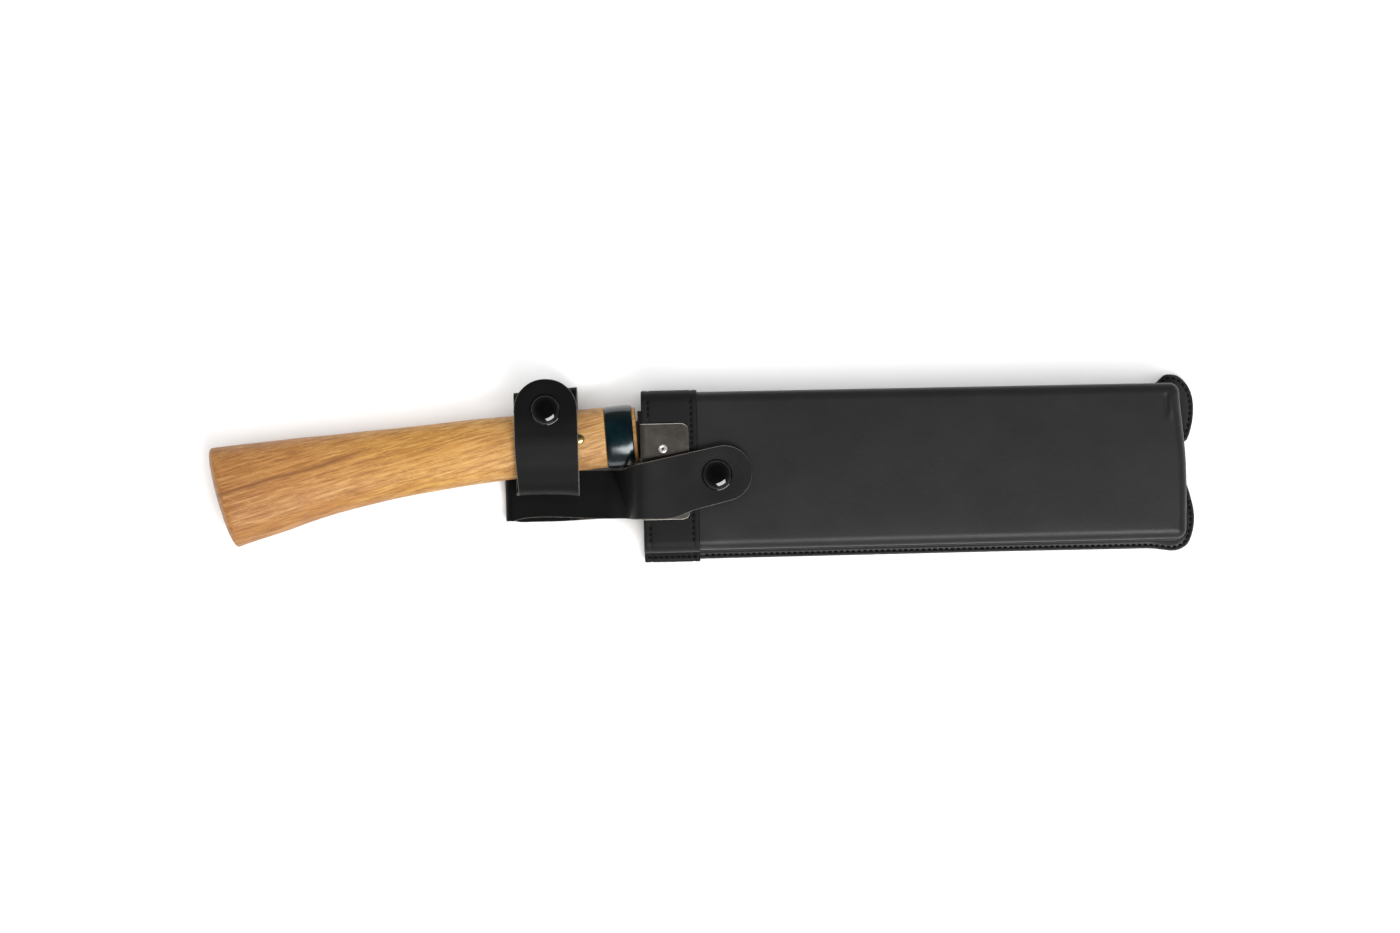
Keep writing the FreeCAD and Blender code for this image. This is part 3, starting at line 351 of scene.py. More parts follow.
# Painted shade on the straps: the axis, the start and end in millimetres, and (share, factor) stops. The belt
# strap is darkened towards its loop, and the handle strap in bands along its length, where they would catch
# less light.
BELT_PAINTED_SHADE = ("X", -38.5, -30.0, (0.0, 0.45), (1.0, 1.0))
STRAP_PAINTED_SHADE = (
    "Y", -12.0, 28.0, (0.0, 0.85), (0.08, 0.55), (0.18, 0.55), (0.38, 1.0), (0.55, 0.82), (0.68, 0.42),
    (1.0, 0.42),
)
look = {
    "black_leather": leather("black_leather", (0.0090, 0.0090, 0.0094), 0.44),
    "band_leather": leather("band_leather", (0.0048, 0.0048, 0.0050), 0.58, shine=0.21),
    "belt_leather": leather("belt_leather", (0.0062, 0.0062, 0.0065), 0.48, STRAP_GRAIN, 0.22, BELT_PAINTED_SHADE),
    "strap_leather": leather("strap_leather", (0.0044, 0.0044, 0.0046), 0.58, STRAP_GRAIN, 0.24, STRAP_PAINTED_SHADE),
    "raw_edge": raw_edge("raw_edge", (0.090, 0.081, 0.070)),
    "oak": oak(),
    "core_wood": board(),
    "blued_steel": blued(),
    "forged_steel": forged(),
    "stainless": metal("stainless", (0.20, 0.18, 0.16), 0.36, grain=(1800, 1800, 1800), depth=0.006),
    # A pale, partly matte steel for the clip's cut rim: a painted highlight standing in for the bright
    # reflection along its polished edge.
    "painted_highlight_steel": metal("painted_highlight_steel", (0.60, 0.56, 0.49), 0.45, depth=0.004, metallic=0.35),
    # Rivet steel, a quarter left matte and pale: a painted reflection standing in for the white surroundings
    # that the dark sky leaves out.
    "bright_steel": metal("bright_steel", (0.82, 0.80, 0.76), 0.24, depth=0.004, metallic=0.75),
    "brass": metal("brass", (0.80, 0.60, 0.26), 0.2, depth=0.006),
    "black_enamel": enamel(),
    "thread": waxed_thread(),
}
record_slots = {row["node"]: row["material_slot"] for row in frame["record"]["subparts"]}
for name, node in nodes.items():
    node.data.materials.clear()
    node.data.materials.append(look[record_slots[name]])


# Mesh tools


def placed(name, data):
    """A new object in the scene."""
    made = bpy.data.objects.new(name, data)
    bpy.context.scene.collection.objects.link(made)
    return made


def modify(made, name, kind, **settings):
    """Gives an object a modifier."""
    added = made.modifiers.new(name, kind)
    for key, value in settings.items():
        setattr(added, key, value)


def piece(name, points, faces, *looks):
    """A new smooth-shaded mesh from points in millimetres and faces that look outwards."""
    mesh = bpy.data.meshes.new(name)
    mesh.from_pydata([Vector(p) * MM for p in points], [], faces)
    for each in looks:
        mesh.materials.append(look[each])
    mesh.shade_smooth()
    return placed(name, mesh)


def outward(made):
    """Turns a closed mesh's faces outwards."""
    work = bmesh.new()
    work.from_mesh(made.data)
    bmesh.ops.recalc_face_normals(work, faces=work.faces)
    work.to_mesh(made.data)
    work.free()


def settle(made):
    """Applies a piece's modifiers, so that its mesh is final."""
    graph = bpy.context.evaluated_depsgraph_get()
    mesh = bpy.data.meshes.new_from_object(made.evaluated_get(graph))
    made.modifiers.clear()
    made.data = mesh
    mesh.name = made.name
    return made


def thicken(made, gauge, round_edge):
    """Gives a surface its thickness, half to each side, and rounds its cut edges.

    The cut edges have the second look."""
    modify(
        made, "gauge", "SOLIDIFY", thickness=gauge * MM, offset=0, use_even_offset=True, material_offset_rim=1
    )
    sharp = math.radians(50)
    modify(made, "edges", "BEVEL", width=round_edge * MM, segments=2, angle_limit=sharp, material=1)
    return settle(made)


def smooth_run(points, per):
    """Points on a smooth curve through all the given points, some to each span."""
    points = [Vector(p) for p in points]
    ends = [points[0] * 2 - points[1], *points, points[-1] * 2 - points[-2]]
    run = []
    for a, b, c, d in zip(ends, ends[1:], ends[2:], ends[3:]):
        for step in range(per):
            u = step / per
            square, cube = a * 2 - b * 5 + c * 4 - d, b * 3 - a - c * 3 + d
            run.append((b * 2 + (c - a) * u + square * u * u + cube * u**3) / 2)
    return [*run, points[-1]]


def grid_faces(rows, columns, closed=False):
    """Quads of a grid of points laid out row by row."""
    faces = []
    for i in range(rows - 1):
        for j in range(columns if closed else columns - 1):
            k = (j + 1) % columns
            a, b = i * columns, (i + 1) * columns
            faces.append((a + j, a + k, b + k, b + j))
    return faces


def uneven(*place):
    """Smooth random height at a place, from -1 to 1."""
    return noise.noise(Vector(place))


def ease(x):
    """A smooth step from 0 to 1."""
    x = min(1, max(0, x))
    return x * x * (3 - 2 * x)


def belongs(made, body, slot, *replaced):
    """Gives a finished piece its body and hides the CAD nodes that it stands for; the slot is not used."""
    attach(made, body)
    if replaced:
        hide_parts(*replaced)


def closed(name, points, faces, slot, body, *replaced, shown=None):
    """A closed piece with the look of its slot, or with another look, and all that belongs to it."""
    made = piece(name, points, faces, shown or slot)
    outward(made)
    belongs(made, body, slot, *replaced)


def ring_faces(rows, columns):
    """The faces of a tube of rings that closes on itself."""
    start = (rows - 1) * columns
    around = [(start + k, start + (k + 1) % columns, (k + 1) % columns, k) for k in range(columns)]
    return grid_faces(rows, columns, closed=True) + around


def capped_faces(rows, columns):
    """The faces of a tube of rings with a cap at each end."""
    start = (rows - 1) * columns
    caps = [tuple(range(columns)), tuple(range(start, start + columns))]
    return grid_faces(rows, columns, closed=True) + caps


def arc(centre, radius, *degrees):
    """Points about a centre, at angles from straight below it towards the first axis."""
    turns = [math.radians(a) for a in degrees]
    return [(centre[0] + radius * math.sin(a), centre[1] - radius * math.cos(a)) for a in turns]


def turned(name, profile, slot, middle, body, *replaced, seg=48, low=False):
    """A turned piece about the Z axis at a place, from (radius, height) pairs top to bottom."""
    points = []
    sign = -1 if low else 1
    for radius, height in profile:
        for k in range(seg):
            a = math.tau * k / seg
            round_z = Vector((radius * math.cos(a), radius * math.sin(a), sign * height))
            points.append(Vector(middle) + round_z)
    closed(name, points, capped_faces(len(profile), seg), slot, body, *replaced)


# Sheath cover

cover_low, cover_high = span("sheath_cover")
band_high = span("mouth_band")[1]
core_low, core_high = span("sheath_core_front")
GAUGE = 1.2
BAND_GAUGE = 0.8
MOUTH_X = cover_low.x
BACK_Z, FRONT_Z = cover_low.z, cover_high.z
TIP_X = core_high.x + GAUGE
EDGE_Y = core_low.y - GAUGE
SPINE_Y = core_high.y + GAUGE
SPINE_DROP = 1.1
FLANGE_TOP = BACK_Z + 3 * GAUGE
RIM = 4.0
STITCH_IN = 1.45
CROWN = 0.62
FLANGE_EDGE = -37.4


def spine_y(x):
    """The spine side's height, which falls a little towards the tip."""
    return SPINE_Y - SPINE_DROP * (x - MOUTH_X) / (TIP_X - MOUTH_X)


LOWER_BOW, UPPER_BOW = 0.6, 2.2


def tip_x(y):
    """The tip's place, bowed out in the middle."""
    share = (y - EDGE_Y) / (spine_y(TIP_X) - EDGE_Y)
    return TIP_X - LOWER_BOW * ease((0.35 - share) / 0.35) - UPPER_BOW * ease((share - 0.45) / 0.55)


UPPER_EAR = [
    (187.4, 30.3), (188.6, 31.2), (190.1, 32.5), (191.6, 33.4), (193.6, 33.9), (196.4, 33.5), (198.8, 32.2),
    (201.5, 29.0), (203.1, 25.0), (203.6, 20.4), (203.2, 14.9), (201.9, 9.7), (200.0, 5.2),
]
LOWER_EAR = [
    (199.6, -9.8), (201.2, -15.2), (202.6, -21.2), (202.9, -26.4), (202.0, -31.5), (200.0, -36.0),
    (196.8, -38.2), (193.4, -38.8), (189.5, -38.3), (184.8, -37.7), (180.0, -37.6),
]


def steps_between(low, high, count):
    return [low + (high - low) * k / count for k in range(count)]


along_x = [
    *steps_between(MOUTH_X, 180.0, 52),
    *steps_between(180.0, TIP_X - RIM - 1, 20),
    *steps_between(TIP_X - RIM - 1, TIP_X, 9),
    TIP_X,
]
share_y = [
    *steps_between(0.0, 0.07, 8),
    *steps_between(0.07, 0.62, 22),
    *steps_between(0.62, 0.93, 22),
    *steps_between(0.93, 1.0, 8),
    1.0,
]
wall_z = [
    *steps_between(FLANGE_TOP + 1.0, FRONT_Z - RIM, 5),
    *steps_between(FRONT_Z - RIM, FRONT_Z, 8),
    FRONT_Z,
]
NX, NY, NZ = len(along_x) - 1, len(share_y) - 1, len(wall_z) - 1


# The front sinks by this depth, over these lengths at the tip and at the lower edge.
ROLL_DEPTH, TIP_ROLL, EDGE_ROLL = 0.42, 11, 9


def crease(x, y):
    """The front's height change: a low crown, a short crease near the tip and soft unevenness."""
    aside = (y - (EDGE_Y + SPINE_Y) / 2) / (SPINE_Y - EDGE_Y) * 2
    crown = -CROWN * aside * aside * ease((x - band_high.x) / 18)
    to_tip = max(0.0, (x - (TIP_X - TIP_ROLL)) / TIP_ROLL)
    to_edge = max(0.0, (EDGE_Y + EDGE_ROLL - y) / EDGE_ROLL) * 0.87
    roll = ROLL_DEPTH * min(1.0, max(to_tip, to_edge)) ** 2 * ease((x - band_high.x) / 18)
    near_corner = ease((26.8 - y) / 2.5) * ease((y - 15.0) / 5)
    fold = math.exp(-(((x - 191.5) / 0.75) ** 2)) * near_corner
    swell = math.exp(-(((x - 193.6) / 1.4) ** 2)) * near_corner
    wave = uneven(x / 34, y / 22, 4.0) * 0.10 + uneven(x / 13, y / 9, 9.0) * 0.03
    return crown + wave - roll - 0.6 * fold + 0.35 * swell


DRAFT = 0.7


def cover_point(i, j, k):
    """A lattice point of the cover's box, moved onto its rounded walls."""
    x, v, z = along_x[i], share_y[j], wall_z[k]
    low, high = EDGE_Y, spine_y(x)
    y = low + (high - low) * v
    end = tip_x(y)
    x = MOUTH_X + (x - MOUTH_X) * (end - MOUTH_X) / (TIP_X - MOUTH_X)
    inner = Vector((min(x, end - RIM), min(max(y, low + RIM), high - RIM), min(z, FRONT_Z - RIM)))
    off = Vector((x, y, z)) - inner
    if off.length > 1e-6:
        off = off.normalized() * RIM
    at = inner + off
    if k == NZ or z > FRONT_Z - RIM:
        at.z += crease(at.x, at.y) * ease((at.z - (FRONT_Z - RIM)) / RIM)
    if i == NX:
        at.x += DRAFT * ease((FRONT_Z - RIM - at.z) / (FRONT_Z - RIM - FLANGE_TOP))
    return at


lattice, cover_points, cover_faces = {}, [], []


def lattice_index(i, j, k):
    key = (i, j, k)
    if key not in lattice:
        lattice[key] = len(cover_points)
        cover_points.append(cover_point(i, j, k))
    return lattice[key]


def lattice_face(*keys):
    cover_faces.append([lattice_index(*key) for key in keys])


for i in range(NX):
    for j in range(NY):
        lattice_face((i, j, NZ), (i + 1, j, NZ), (i + 1, j + 1, NZ), (i, j + 1, NZ))
rim_columns = [(i, 0) for i in range(NX)] + [(NX, j) for j in range(NY)]
rim_columns += [(i, NY) for i in range(NX, -1, -1)]
for (i, j), (m, n) in zip(rim_columns, rim_columns[1:]):
    for k in range(NZ):
        lattice_face((i, j, k), (m, n, k), (m, n, k + 1), (i, j, k + 1))

lower_line = smooth_run([(*p, 0) for p in reversed(LOWER_EAR)], 8)
upper_line = smooth_run([(*p, 0) for p in UPPER_EAR], 8)


def along_line(line, share):
    """A point at a share of a polyline's length."""
    lengths = [(b - a).length for a, b in zip(line, line[1:])]
    left = share * sum(lengths)
    for a, b, length in zip(line, line[1:], lengths):
        if left <= length:
            return a.lerp(b, left / length)
        left -= length
    return line[-1].copy()


LOWER_ROOT_X, UPPER_ROOT_X = LOWER_EAR[-1][0], UPPER_EAR[0][0]
LOWER_GAP_Y, UPPER_GAP_Y = LOWER_EAR[0][1], UPPER_EAR[-1][1]
LOWER_CORNER, UPPER_CORNER = 0.46, 0.50


def flange_edge(i, j, foot):
    """The flange's outer edge for a wall column, and how much of a flange there is."""
    if j == 0:
        if foot.x < LOWER_ROOT_X:
            return Vector((foot.x, FLANGE_EDGE - 0.2 * ease((foot.x - 120) / 60), 0)), 1.0
        share = (foot.x - LOWER_ROOT_X) / (TIP_X - 1.0 - LOWER_ROOT_X)
        return along_line(lower_line, min(1, share) * LOWER_CORNER), 1.0
    if i == NX and j < NY:
        if foot.y < LOWER_GAP_Y:
            share = (foot.y - EDGE_Y) / (LOWER_GAP_Y - EDGE_Y)
            edge = along_line(lower_line, LOWER_CORNER + share * (1 - LOWER_CORNER))
            return edge, ease((LOWER_GAP_Y - foot.y) / 2.0)
        if foot.y > UPPER_GAP_Y:
            share = (spine_y(TIP_X) - foot.y) / (spine_y(TIP_X) - UPPER_GAP_Y)
            edge = along_line(upper_line, UPPER_CORNER + share * (1 - UPPER_CORNER))
            return edge, ease((foot.y - UPPER_GAP_Y) / 2.0)
        return foot.copy(), 0.0
    if foot.x > UPPER_ROOT_X:
        share = (foot.x - UPPER_ROOT_X) / (TIP_X - 2.2 - UPPER_ROOT_X)
        return along_line(upper_line, min(1, share) * UPPER_CORNER), ease((foot.x - UPPER_ROOT_X) / 2.5)
    return foot.copy(), 0.0


EDGE_ROWS = [
    (2.7, 0.05), (2.25, 0.05), (1.9, -0.08), (STITCH_IN, -0.2), (1.0, -0.08), (0.7, 0.04), (0.45, 0.0),
    (0.2, -0.12), (0.05, -0.36),
]
LAYER_ROWS = [
    (0.0, FLANGE_TOP - 0.7), (0.0, FLANGE_TOP - 1.05), (0.28, FLANGE_TOP - 1.2), (0.02, FLANGE_TOP - 1.35),
    (0.02, BACK_Z + 1.35), (0.28, BACK_Z + 1.2), (0.0, BACK_Z + 1.05), (0.0, BACK_Z + 0.4),
    (0.1, BACK_Z + 0.12), (0.35, BACK_Z),
]


def skirt(foot, out, edge, share):
    """The rows from a wall column's foot over the flange, or over the fold, to the back."""
    width = max((edge - foot).to_2d().length, 0.01)
    direction = (edge - foot).to_2d().normalized() if share > 0 else out.to_2d()
    squeeze = min(1.0, width / 3.2)
    rows, fold = [], []
    turns = [math.radians(a) for a in (25, 55, 80)]
    flange = [(squeeze * (1 - math.cos(a)), FLANGE_TOP + 1.0 - math.sin(a)) for a in turns]
    for part in (0.35, 0.7):
        reach = squeeze + (width - 3.6 * squeeze) * part
        flange.append((max(reach, squeeze), FLANGE_TOP + 0.12 * squeeze * math.sin(math.pi * part)))
    flange += [(width - inset * squeeze, FLANGE_TOP + rise * squeeze) for inset, rise in EDGE_ROWS]
    flange += [(width - inset * squeeze, height) for inset, height in LAYER_ROWS]
    count = len(flange)
    radius = 1.0 if abs(out.x) > 0.5 else 2.4
    straight = FLANGE_TOP + 1.0 - BACK_Z - radius
    for index in range(count):
        u = index / (count - 1)
        if u < 0.5:
            fold.append((0.0, FLANGE_TOP + 1.0 - straight * u * 2))
        else:
            a = math.pi * (u - 0.5)
            fold.append((-radius * (1 - math.cos(a)), BACK_Z + radius * (1 - math.sin(a))))
    for (reach, height), (fold_reach, fold_height) in zip(flange, fold):
        flat = direction * (reach * share) + out.to_2d() * (fold_reach * (1 - share))
        rows.append(Vector((foot.x + flat.x, foot.y + flat.y, height * share + fold_height * (1 - share))))
    return rows


skirts = []
for i, j in rim_columns:
    foot = cover_points[lattice[(i, j, 0)]]
    out = Vector((0, -1, 0)) if j == 0 else Vector((1, 0, 0)) if i == NX and j < NY else Vector((0, 1, 0))
    edge, share = flange_edge(i, j, foot)
    skirts.append(skirt(foot, out, edge, share))
row_count = len(skirts[0])
skirt_start = len(cover_points)
for rows in skirts:
    cover_points.extend(rows)


def skirt_index(column, row):
    if row < 0:
        i, j = rim_columns[column]
        return lattice[(i, j, 0)]
    return skirt_start + column * row_count + row


for column in range(len(rim_columns) - 1):
    for row in range(-1, row_count - 1):
        corners = ((column, row + 1), (column + 1, row + 1), (column + 1, row), (column, row))
        cover_faces.append([skirt_index(*corner) for corner in corners])

# The back is a patch between the last rows of the skirts.
last = row_count - 1
bottom = [skirt_index(c, last) for c in range(NX + 1)]
end = [skirt_index(NX + c, last) for c in range(NY + 1)]
top = [skirt_index(len(rim_columns) - 1 - c, last) for c in range(NX + 1)]
back_grid = {(i, j): line[i] for j, line in ((0, bottom), (NY, top)) for i in range(NX + 1)}
back_grid |= {(NX, j): end[j] for j in range(NY + 1)}
for i in range(NX):
    u = i / NX
    low, high = cover_points[bottom[i]], cover_points[top[i]]
    for j in range(1, NY):
        v = share_y[j]
        left = cover_points[bottom[0]].lerp(cover_points[top[0]], v)
        right = cover_points[bottom[NX]].lerp(cover_points[top[NX]], v)
        at = low.lerp(high, v) + left.lerp(cover_points[end[j]], u) - left.lerp(right, u)
        at.z = BACK_Z + 0.06 * uneven(at.x / 30, at.y / 20, 2.0) * math.sin(math.pi * v)
        back_grid[(i, j)] = len(cover_points)
        cover_points.append(at)
for i in range(NX):
    for j in range(NY):
        cover_faces.append([back_grid[key] for key in ((i, j), (i, j + 1), (i + 1, j + 1), (i + 1, j))])

COVER_SHELL = 1.1
cover = piece("sheath_leather", cover_points, cover_faces, "black_leather", "raw_edge")
modify(cover, "gauge", "SOLIDIFY", thickness=COVER_SHELL * MM, offset=-1, material_offset_rim=1)
outward(cover)
settle(cover)
belongs(cover, "sheath", "black_leather", "sheath_cover")

# The strip sewn into the flange, seen at the mouth.
welt_line = [(MOUTH_X + 0.05, EDGE_Y + 0.2), (MOUTH_X + 0.05, FLANGE_EDGE + 0.4)]
welt_line += [(x, FLANGE_EDGE + 0.4) for x in (60, 120, 178)]
welt_line += [(x, EDGE_Y + 0.2) for x in (178, 120, 60)]
welt_heights = (BACK_Z + GAUGE + 0.12, BACK_Z + 2 * GAUGE - 0.12)
welt_points = [(x, y, z) for z in welt_heights for x, y in welt_line]
welt = piece("flange_welt", welt_points, capped_faces(2, len(welt_line)), "raw_edge")
outward(welt)
modify(welt, "edges", "BEVEL", width=0.15 * MM, segments=2)
settle(welt)
belongs(welt, "sheath", "black_leather", "edge_welt")


# Stitches

STITCH_PITCH, STITCH_LENGTH, STITCH_WIDTH = 2.4, 1.75, 0.92
STITCH_SIDES = 8
# Each ring's share of the stitch's length, its size and its height.
STITCH_RINGS = (
    (0.0, 0.25, -0.3), (0.08, 0.75, -0.1), (0.25, 1.0, 0.04), (0.5, 1.05, 0.08), (0.75, 1.0, 0.04),
    (0.92, 0.75, -0.1), (1.0, 0.25, -0.3),
)


def gather(*parts):
    """Joins several (points, faces) into one."""
    points, faces = [], []
    for some_points, some_faces in parts:
        base = len(points)
        points.extend(some_points)
        faces.extend([tuple(base + k for k in face) for face in some_faces])
    return points, faces


def stitch_run(line, up=1):
    """Points and faces of separate stitches laid along a line, their ends dipping into the leather."""
    stitches = []
    normal = Vector((0, 0, up))
    total = sum((b - a).length for a, b in zip(line, line[1:]))
    count = max(1, round(total / STITCH_PITCH))
    for number in range(count):
        middle = (number + 0.5) / count
        a = along_line(line, max(0.0, middle - STITCH_LENGTH / 2 / total))
        b = along_line(line, min(1.0, middle + STITCH_LENGTH / 2 / total))
        side = (b - a).normalized().cross(normal).normalized()
        points = []
        for share, swell, dip in STITCH_RINGS:
            centre = a.lerp(b, share) + normal * dip + side * (0.10 * (share - 0.5) * STITCH_WIDTH)
            radius = STITCH_WIDTH / 2 * swell
            for k in range(STITCH_SIDES):
                turn = math.tau * k / STITCH_SIDES
                points.append(centre + side * (math.cos(turn) * radius) + normal * (math.sin(turn) * radius))
        stitches.append((points, capped_faces(len(STITCH_RINGS), STITCH_SIDES)))
    return gather(*stitches)


def inset_line(line, inset):
    """A line moved to its left by an inset, seen from the front."""
    moved = []
    for index, at in enumerate(line):
        before, after = line[max(0, index - 1)], line[min(len(line) - 1, index + 1)]
        way = (after - before).normalized()
        moved.append(at + Vector((-way.y, way.x, 0)) * inset)
    return moved


stitch_top = FLANGE_TOP - 0.06
stitch_back = BACK_Z + 0.02
flange_line = [Vector((x, FLANGE_EDGE - 0.2 * ease((x - 120) / 60), 0)) for x in range(1, 178, 4)]
outer_line = [*flange_line, *[p for p in lower_line if p.x > 178]]
lower_stitches = [p for p in inset_line(outer_line, STITCH_IN) if p.y < LOWER_GAP_Y - 1.0]
upper_stitches = [
    p for p in inset_line(upper_line[::-1], STITCH_IN) if p.y > UPPER_GAP_Y + 1.5 and p.x > UPPER_ROOT_X + 0.1
]
stitch_parts = []
for line in (lower_stitches, upper_stitches):
    for height, up in ((stitch_top, 1), (stitch_back, -1)):
        stitch_parts.append(stitch_run([Vector((p.x, p.y, height)) for p in line], up))
closed("flange_stitches", *gather(*stitch_parts), "thread", "sheath", "cover_thread")


# Mouth band

HEM_OUT = 0.25


def band_profile():
    """The band's section round the cover: points with their outward direction."""
    low, high = BACK_Z, FRONT_Z
    hem = FLANGE_EDGE - HEM_OUT
    corners = [
        ((0.0, low), 0),
        ((SPINE_Y, low), 2.4),
        ((SPINE_Y, high), RIM),
        ((EDGE_Y, high), RIM),
        ((EDGE_Y, FLANGE_TOP), -0.9),
        ((hem, FLANGE_TOP), 0.5),
        ((hem, low), 0.5),
    ]
    run = []
    for index, (corner, radius) in enumerate(corners):
        at = Vector((*corner, 0))
        before = Vector((*corners[index - 1][0], 0))
        after = Vector((*corners[(index + 1) % len(corners)][0], 0))
        way_in, way_out = (at - before).normalized(), (after - at).normalized()
        normal_in, normal_out = (Vector((w.y, -w.x, 0)) for w in (way_in, way_out))
        if radius == 0:
            run.append((at, normal_in))
            continue
        concave = radius < 0
        radius = abs(radius)
        centre = at - way_in * radius + (normal_in * radius if concave else -normal_in * radius)
        for step in range(9):
            angle = step / 8 * math.pi / 2
            normal = (normal_in * math.cos(angle) + normal_out * math.sin(angle)).normalized()
            run.append((centre + normal * (-radius if concave else radius), normal))
    dense = []
    for (a, na), (b, nb) in zip(run, run[1:] + run[:1]):
        gap = (b - a).length
        count = max(1, int(gap / 3.0))
        for step in range(count):
            dense.append((a.lerp(b, step / count), na.lerp(nb, step / count).normalized()))
    return dense


GROOVE = ((-1.0, 0), (-0.65, 0.03), (-0.35, 0.11), (0, 0.15), (0.35, 0.11), (0.65, 0.03), (1.0, 0))
BAND_END = band_high.x
FIRST_COLUMN, SECOND_COLUMN = MOUTH_X + 2.8, BAND_END - 2.5
band_rows = [(MOUTH_X, 0.28), (MOUTH_X + 0.08, 0.52), (MOUTH_X + 0.3, 0.74), (MOUTH_X + 0.7, BAND_GAUGE)]
for column in (FIRST_COLUMN, SECOND_COLUMN):
    for shift, depth in GROOVE:
        band_rows.append((column + shift, BAND_GAUGE - depth))
band_rows += [(BAND_END - 0.8, BAND_GAUGE), (BAND_END - 0.35, 0.74), (BAND_END - 0.1, 0.5), (BAND_END, 0.24)]
middle_rows = [(x, BAND_GAUGE) for x in steps_between(FIRST_COLUMN + 3, SECOND_COLUMN - 1.5, 4)]
band_rows = sorted(band_rows + middle_rows)
profile = band_profile()
band_points = []
for x, offset in band_rows:
    for at, normal in profile:
        ripple = 0.05 * uneven(x / 7, at.x / 9, at.y / 9)
        moved = at + normal * (offset + ripple)
        band_points.append((x, moved.x, moved.y))
for x in (BAND_END, MOUTH_X):
    for at, normal in profile:
        moved = at - normal * 0.03
        band_points.append((x, moved.x, moved.y))
band_faces = ring_faces(len(band_rows) + 2, len(profile))
slot = "black_leather"
closed("mouth_binding", band_points, band_faces, slot, "sheath", "mouth_band", shown="band_leather")

clip_low, clip_high = span("mouth_clip_front")
stitch_parts = []
for column in (FIRST_COLUMN, SECOND_COLUMN):
    ring = []
    for at, normal in profile:
        moved = at + normal * (BAND_GAUGE - 0.06)
        ring.append((Vector((column, moved.x, moved.y)), Vector((0, normal.x, normal.y))))
    for side in (1, -1):
        runs, current = [], []
        for at, normal in ring:
            flat = normal.z * side > 0.98
            hidden = side > 0 and column == FIRST_COLUMN and clip_low.y - 0.6 < at.y < clip_high.y + 0.6
            if flat and at.y > EDGE_Y + 2.5 and not hidden:
                current.append(at)
            else:
                runs.append(current)
                current = []
        for run in (*runs, current):
            if len(run) > 2:
                stitch_parts.append(stitch_run(sorted(run, key=lambda p: p.y), side))
hem_y = FLANGE_EDGE - HEM_OUT - BAND_GAUGE + 1.9
hem_line = [Vector((x, hem_y, FLANGE_TOP + BAND_GAUGE - 0.05)) for x in (MOUTH_X + 1, BAND_END - 1)]
stitch_parts.append(stitch_run(hem_line))
closed("binding_stitches", *gather(*stitch_parts), "thread", "sheath", "band_thread")


# Strips

STRAP_ROUND = 0.32


def strip(name, left, right, gauge, round_edge, looks, across, shape=None, worn=0.2):
    """A strip of sheet between a left and a right edge line, one gauge thick.

    The faces within worn of an edge line have the look of the cut edge."""
    points = []
    for a, b in zip(left, right):
        rim = min(worn / (b - a).length, 0.5 / across)
        shares = [0, rim, *(j / across for j in range(1, across)), 1 - rim, 1]
        points += [a.lerp(b, share) for share in shares]
    if shape:
        points = [shape(Vector(p)) for p in points]
    columns = across + 3
    made = piece(name, points, grid_faces(len(left), columns), *looks)
    for number, face in enumerate(made.data.polygons):
        if number % (columns - 1) in (0, columns - 2):
            face.material_index = 1
    return thicken(made, gauge, round_edge)


def end_rows(centre, way, left, half, radius, steps=9):
    """Edge points of a strip's end whose corners are rounded by a radius, up to its tip."""
    lefts, rights = [], []
    for step in range(steps):
        angle = math.radians(88.5 * step / (steps - 1))
        reach = way * (radius * math.sin(angle))
        wide = half - radius + radius * math.cos(angle)
        lefts.append(centre + reach + left * wide)
        rights.append(centre + reach - left * wide)
    return lefts, rights


# Belt strap

tab_low = span("belt_strap_tab")[0]
loop_low, loop_high = span("belt_loop")
BELT_TILT = math.radians(11.2)
cap_low, cap_high = span("belt_snap_cap")
belt_snap = (cap_low + cap_high) / 2
TAB_MID = tab_low.z + GAUGE / 2
LOOP_TOP, LOOP_LOW = loop_high.y, loop_low.y
# The rivets' heads stand this much out of the strap's root.
RIVET_PROUD = 0.05
ROOT_MID = GAUGE / 2 + RIVET_PROUD
LAYER_MID = loop_high.z - GAUGE / 2
FOLD_R = (LAYER_MID - ROOT_MID) / 2
FOLD_X = loop_low.x + GAUGE / 2 + FOLD_R
tab_way = Vector((math.cos(BELT_TILT), math.sin(BELT_TILT), 0))
tab_left = Vector((-tab_way.y, tab_way.x, 0))

upper, lower = [], []
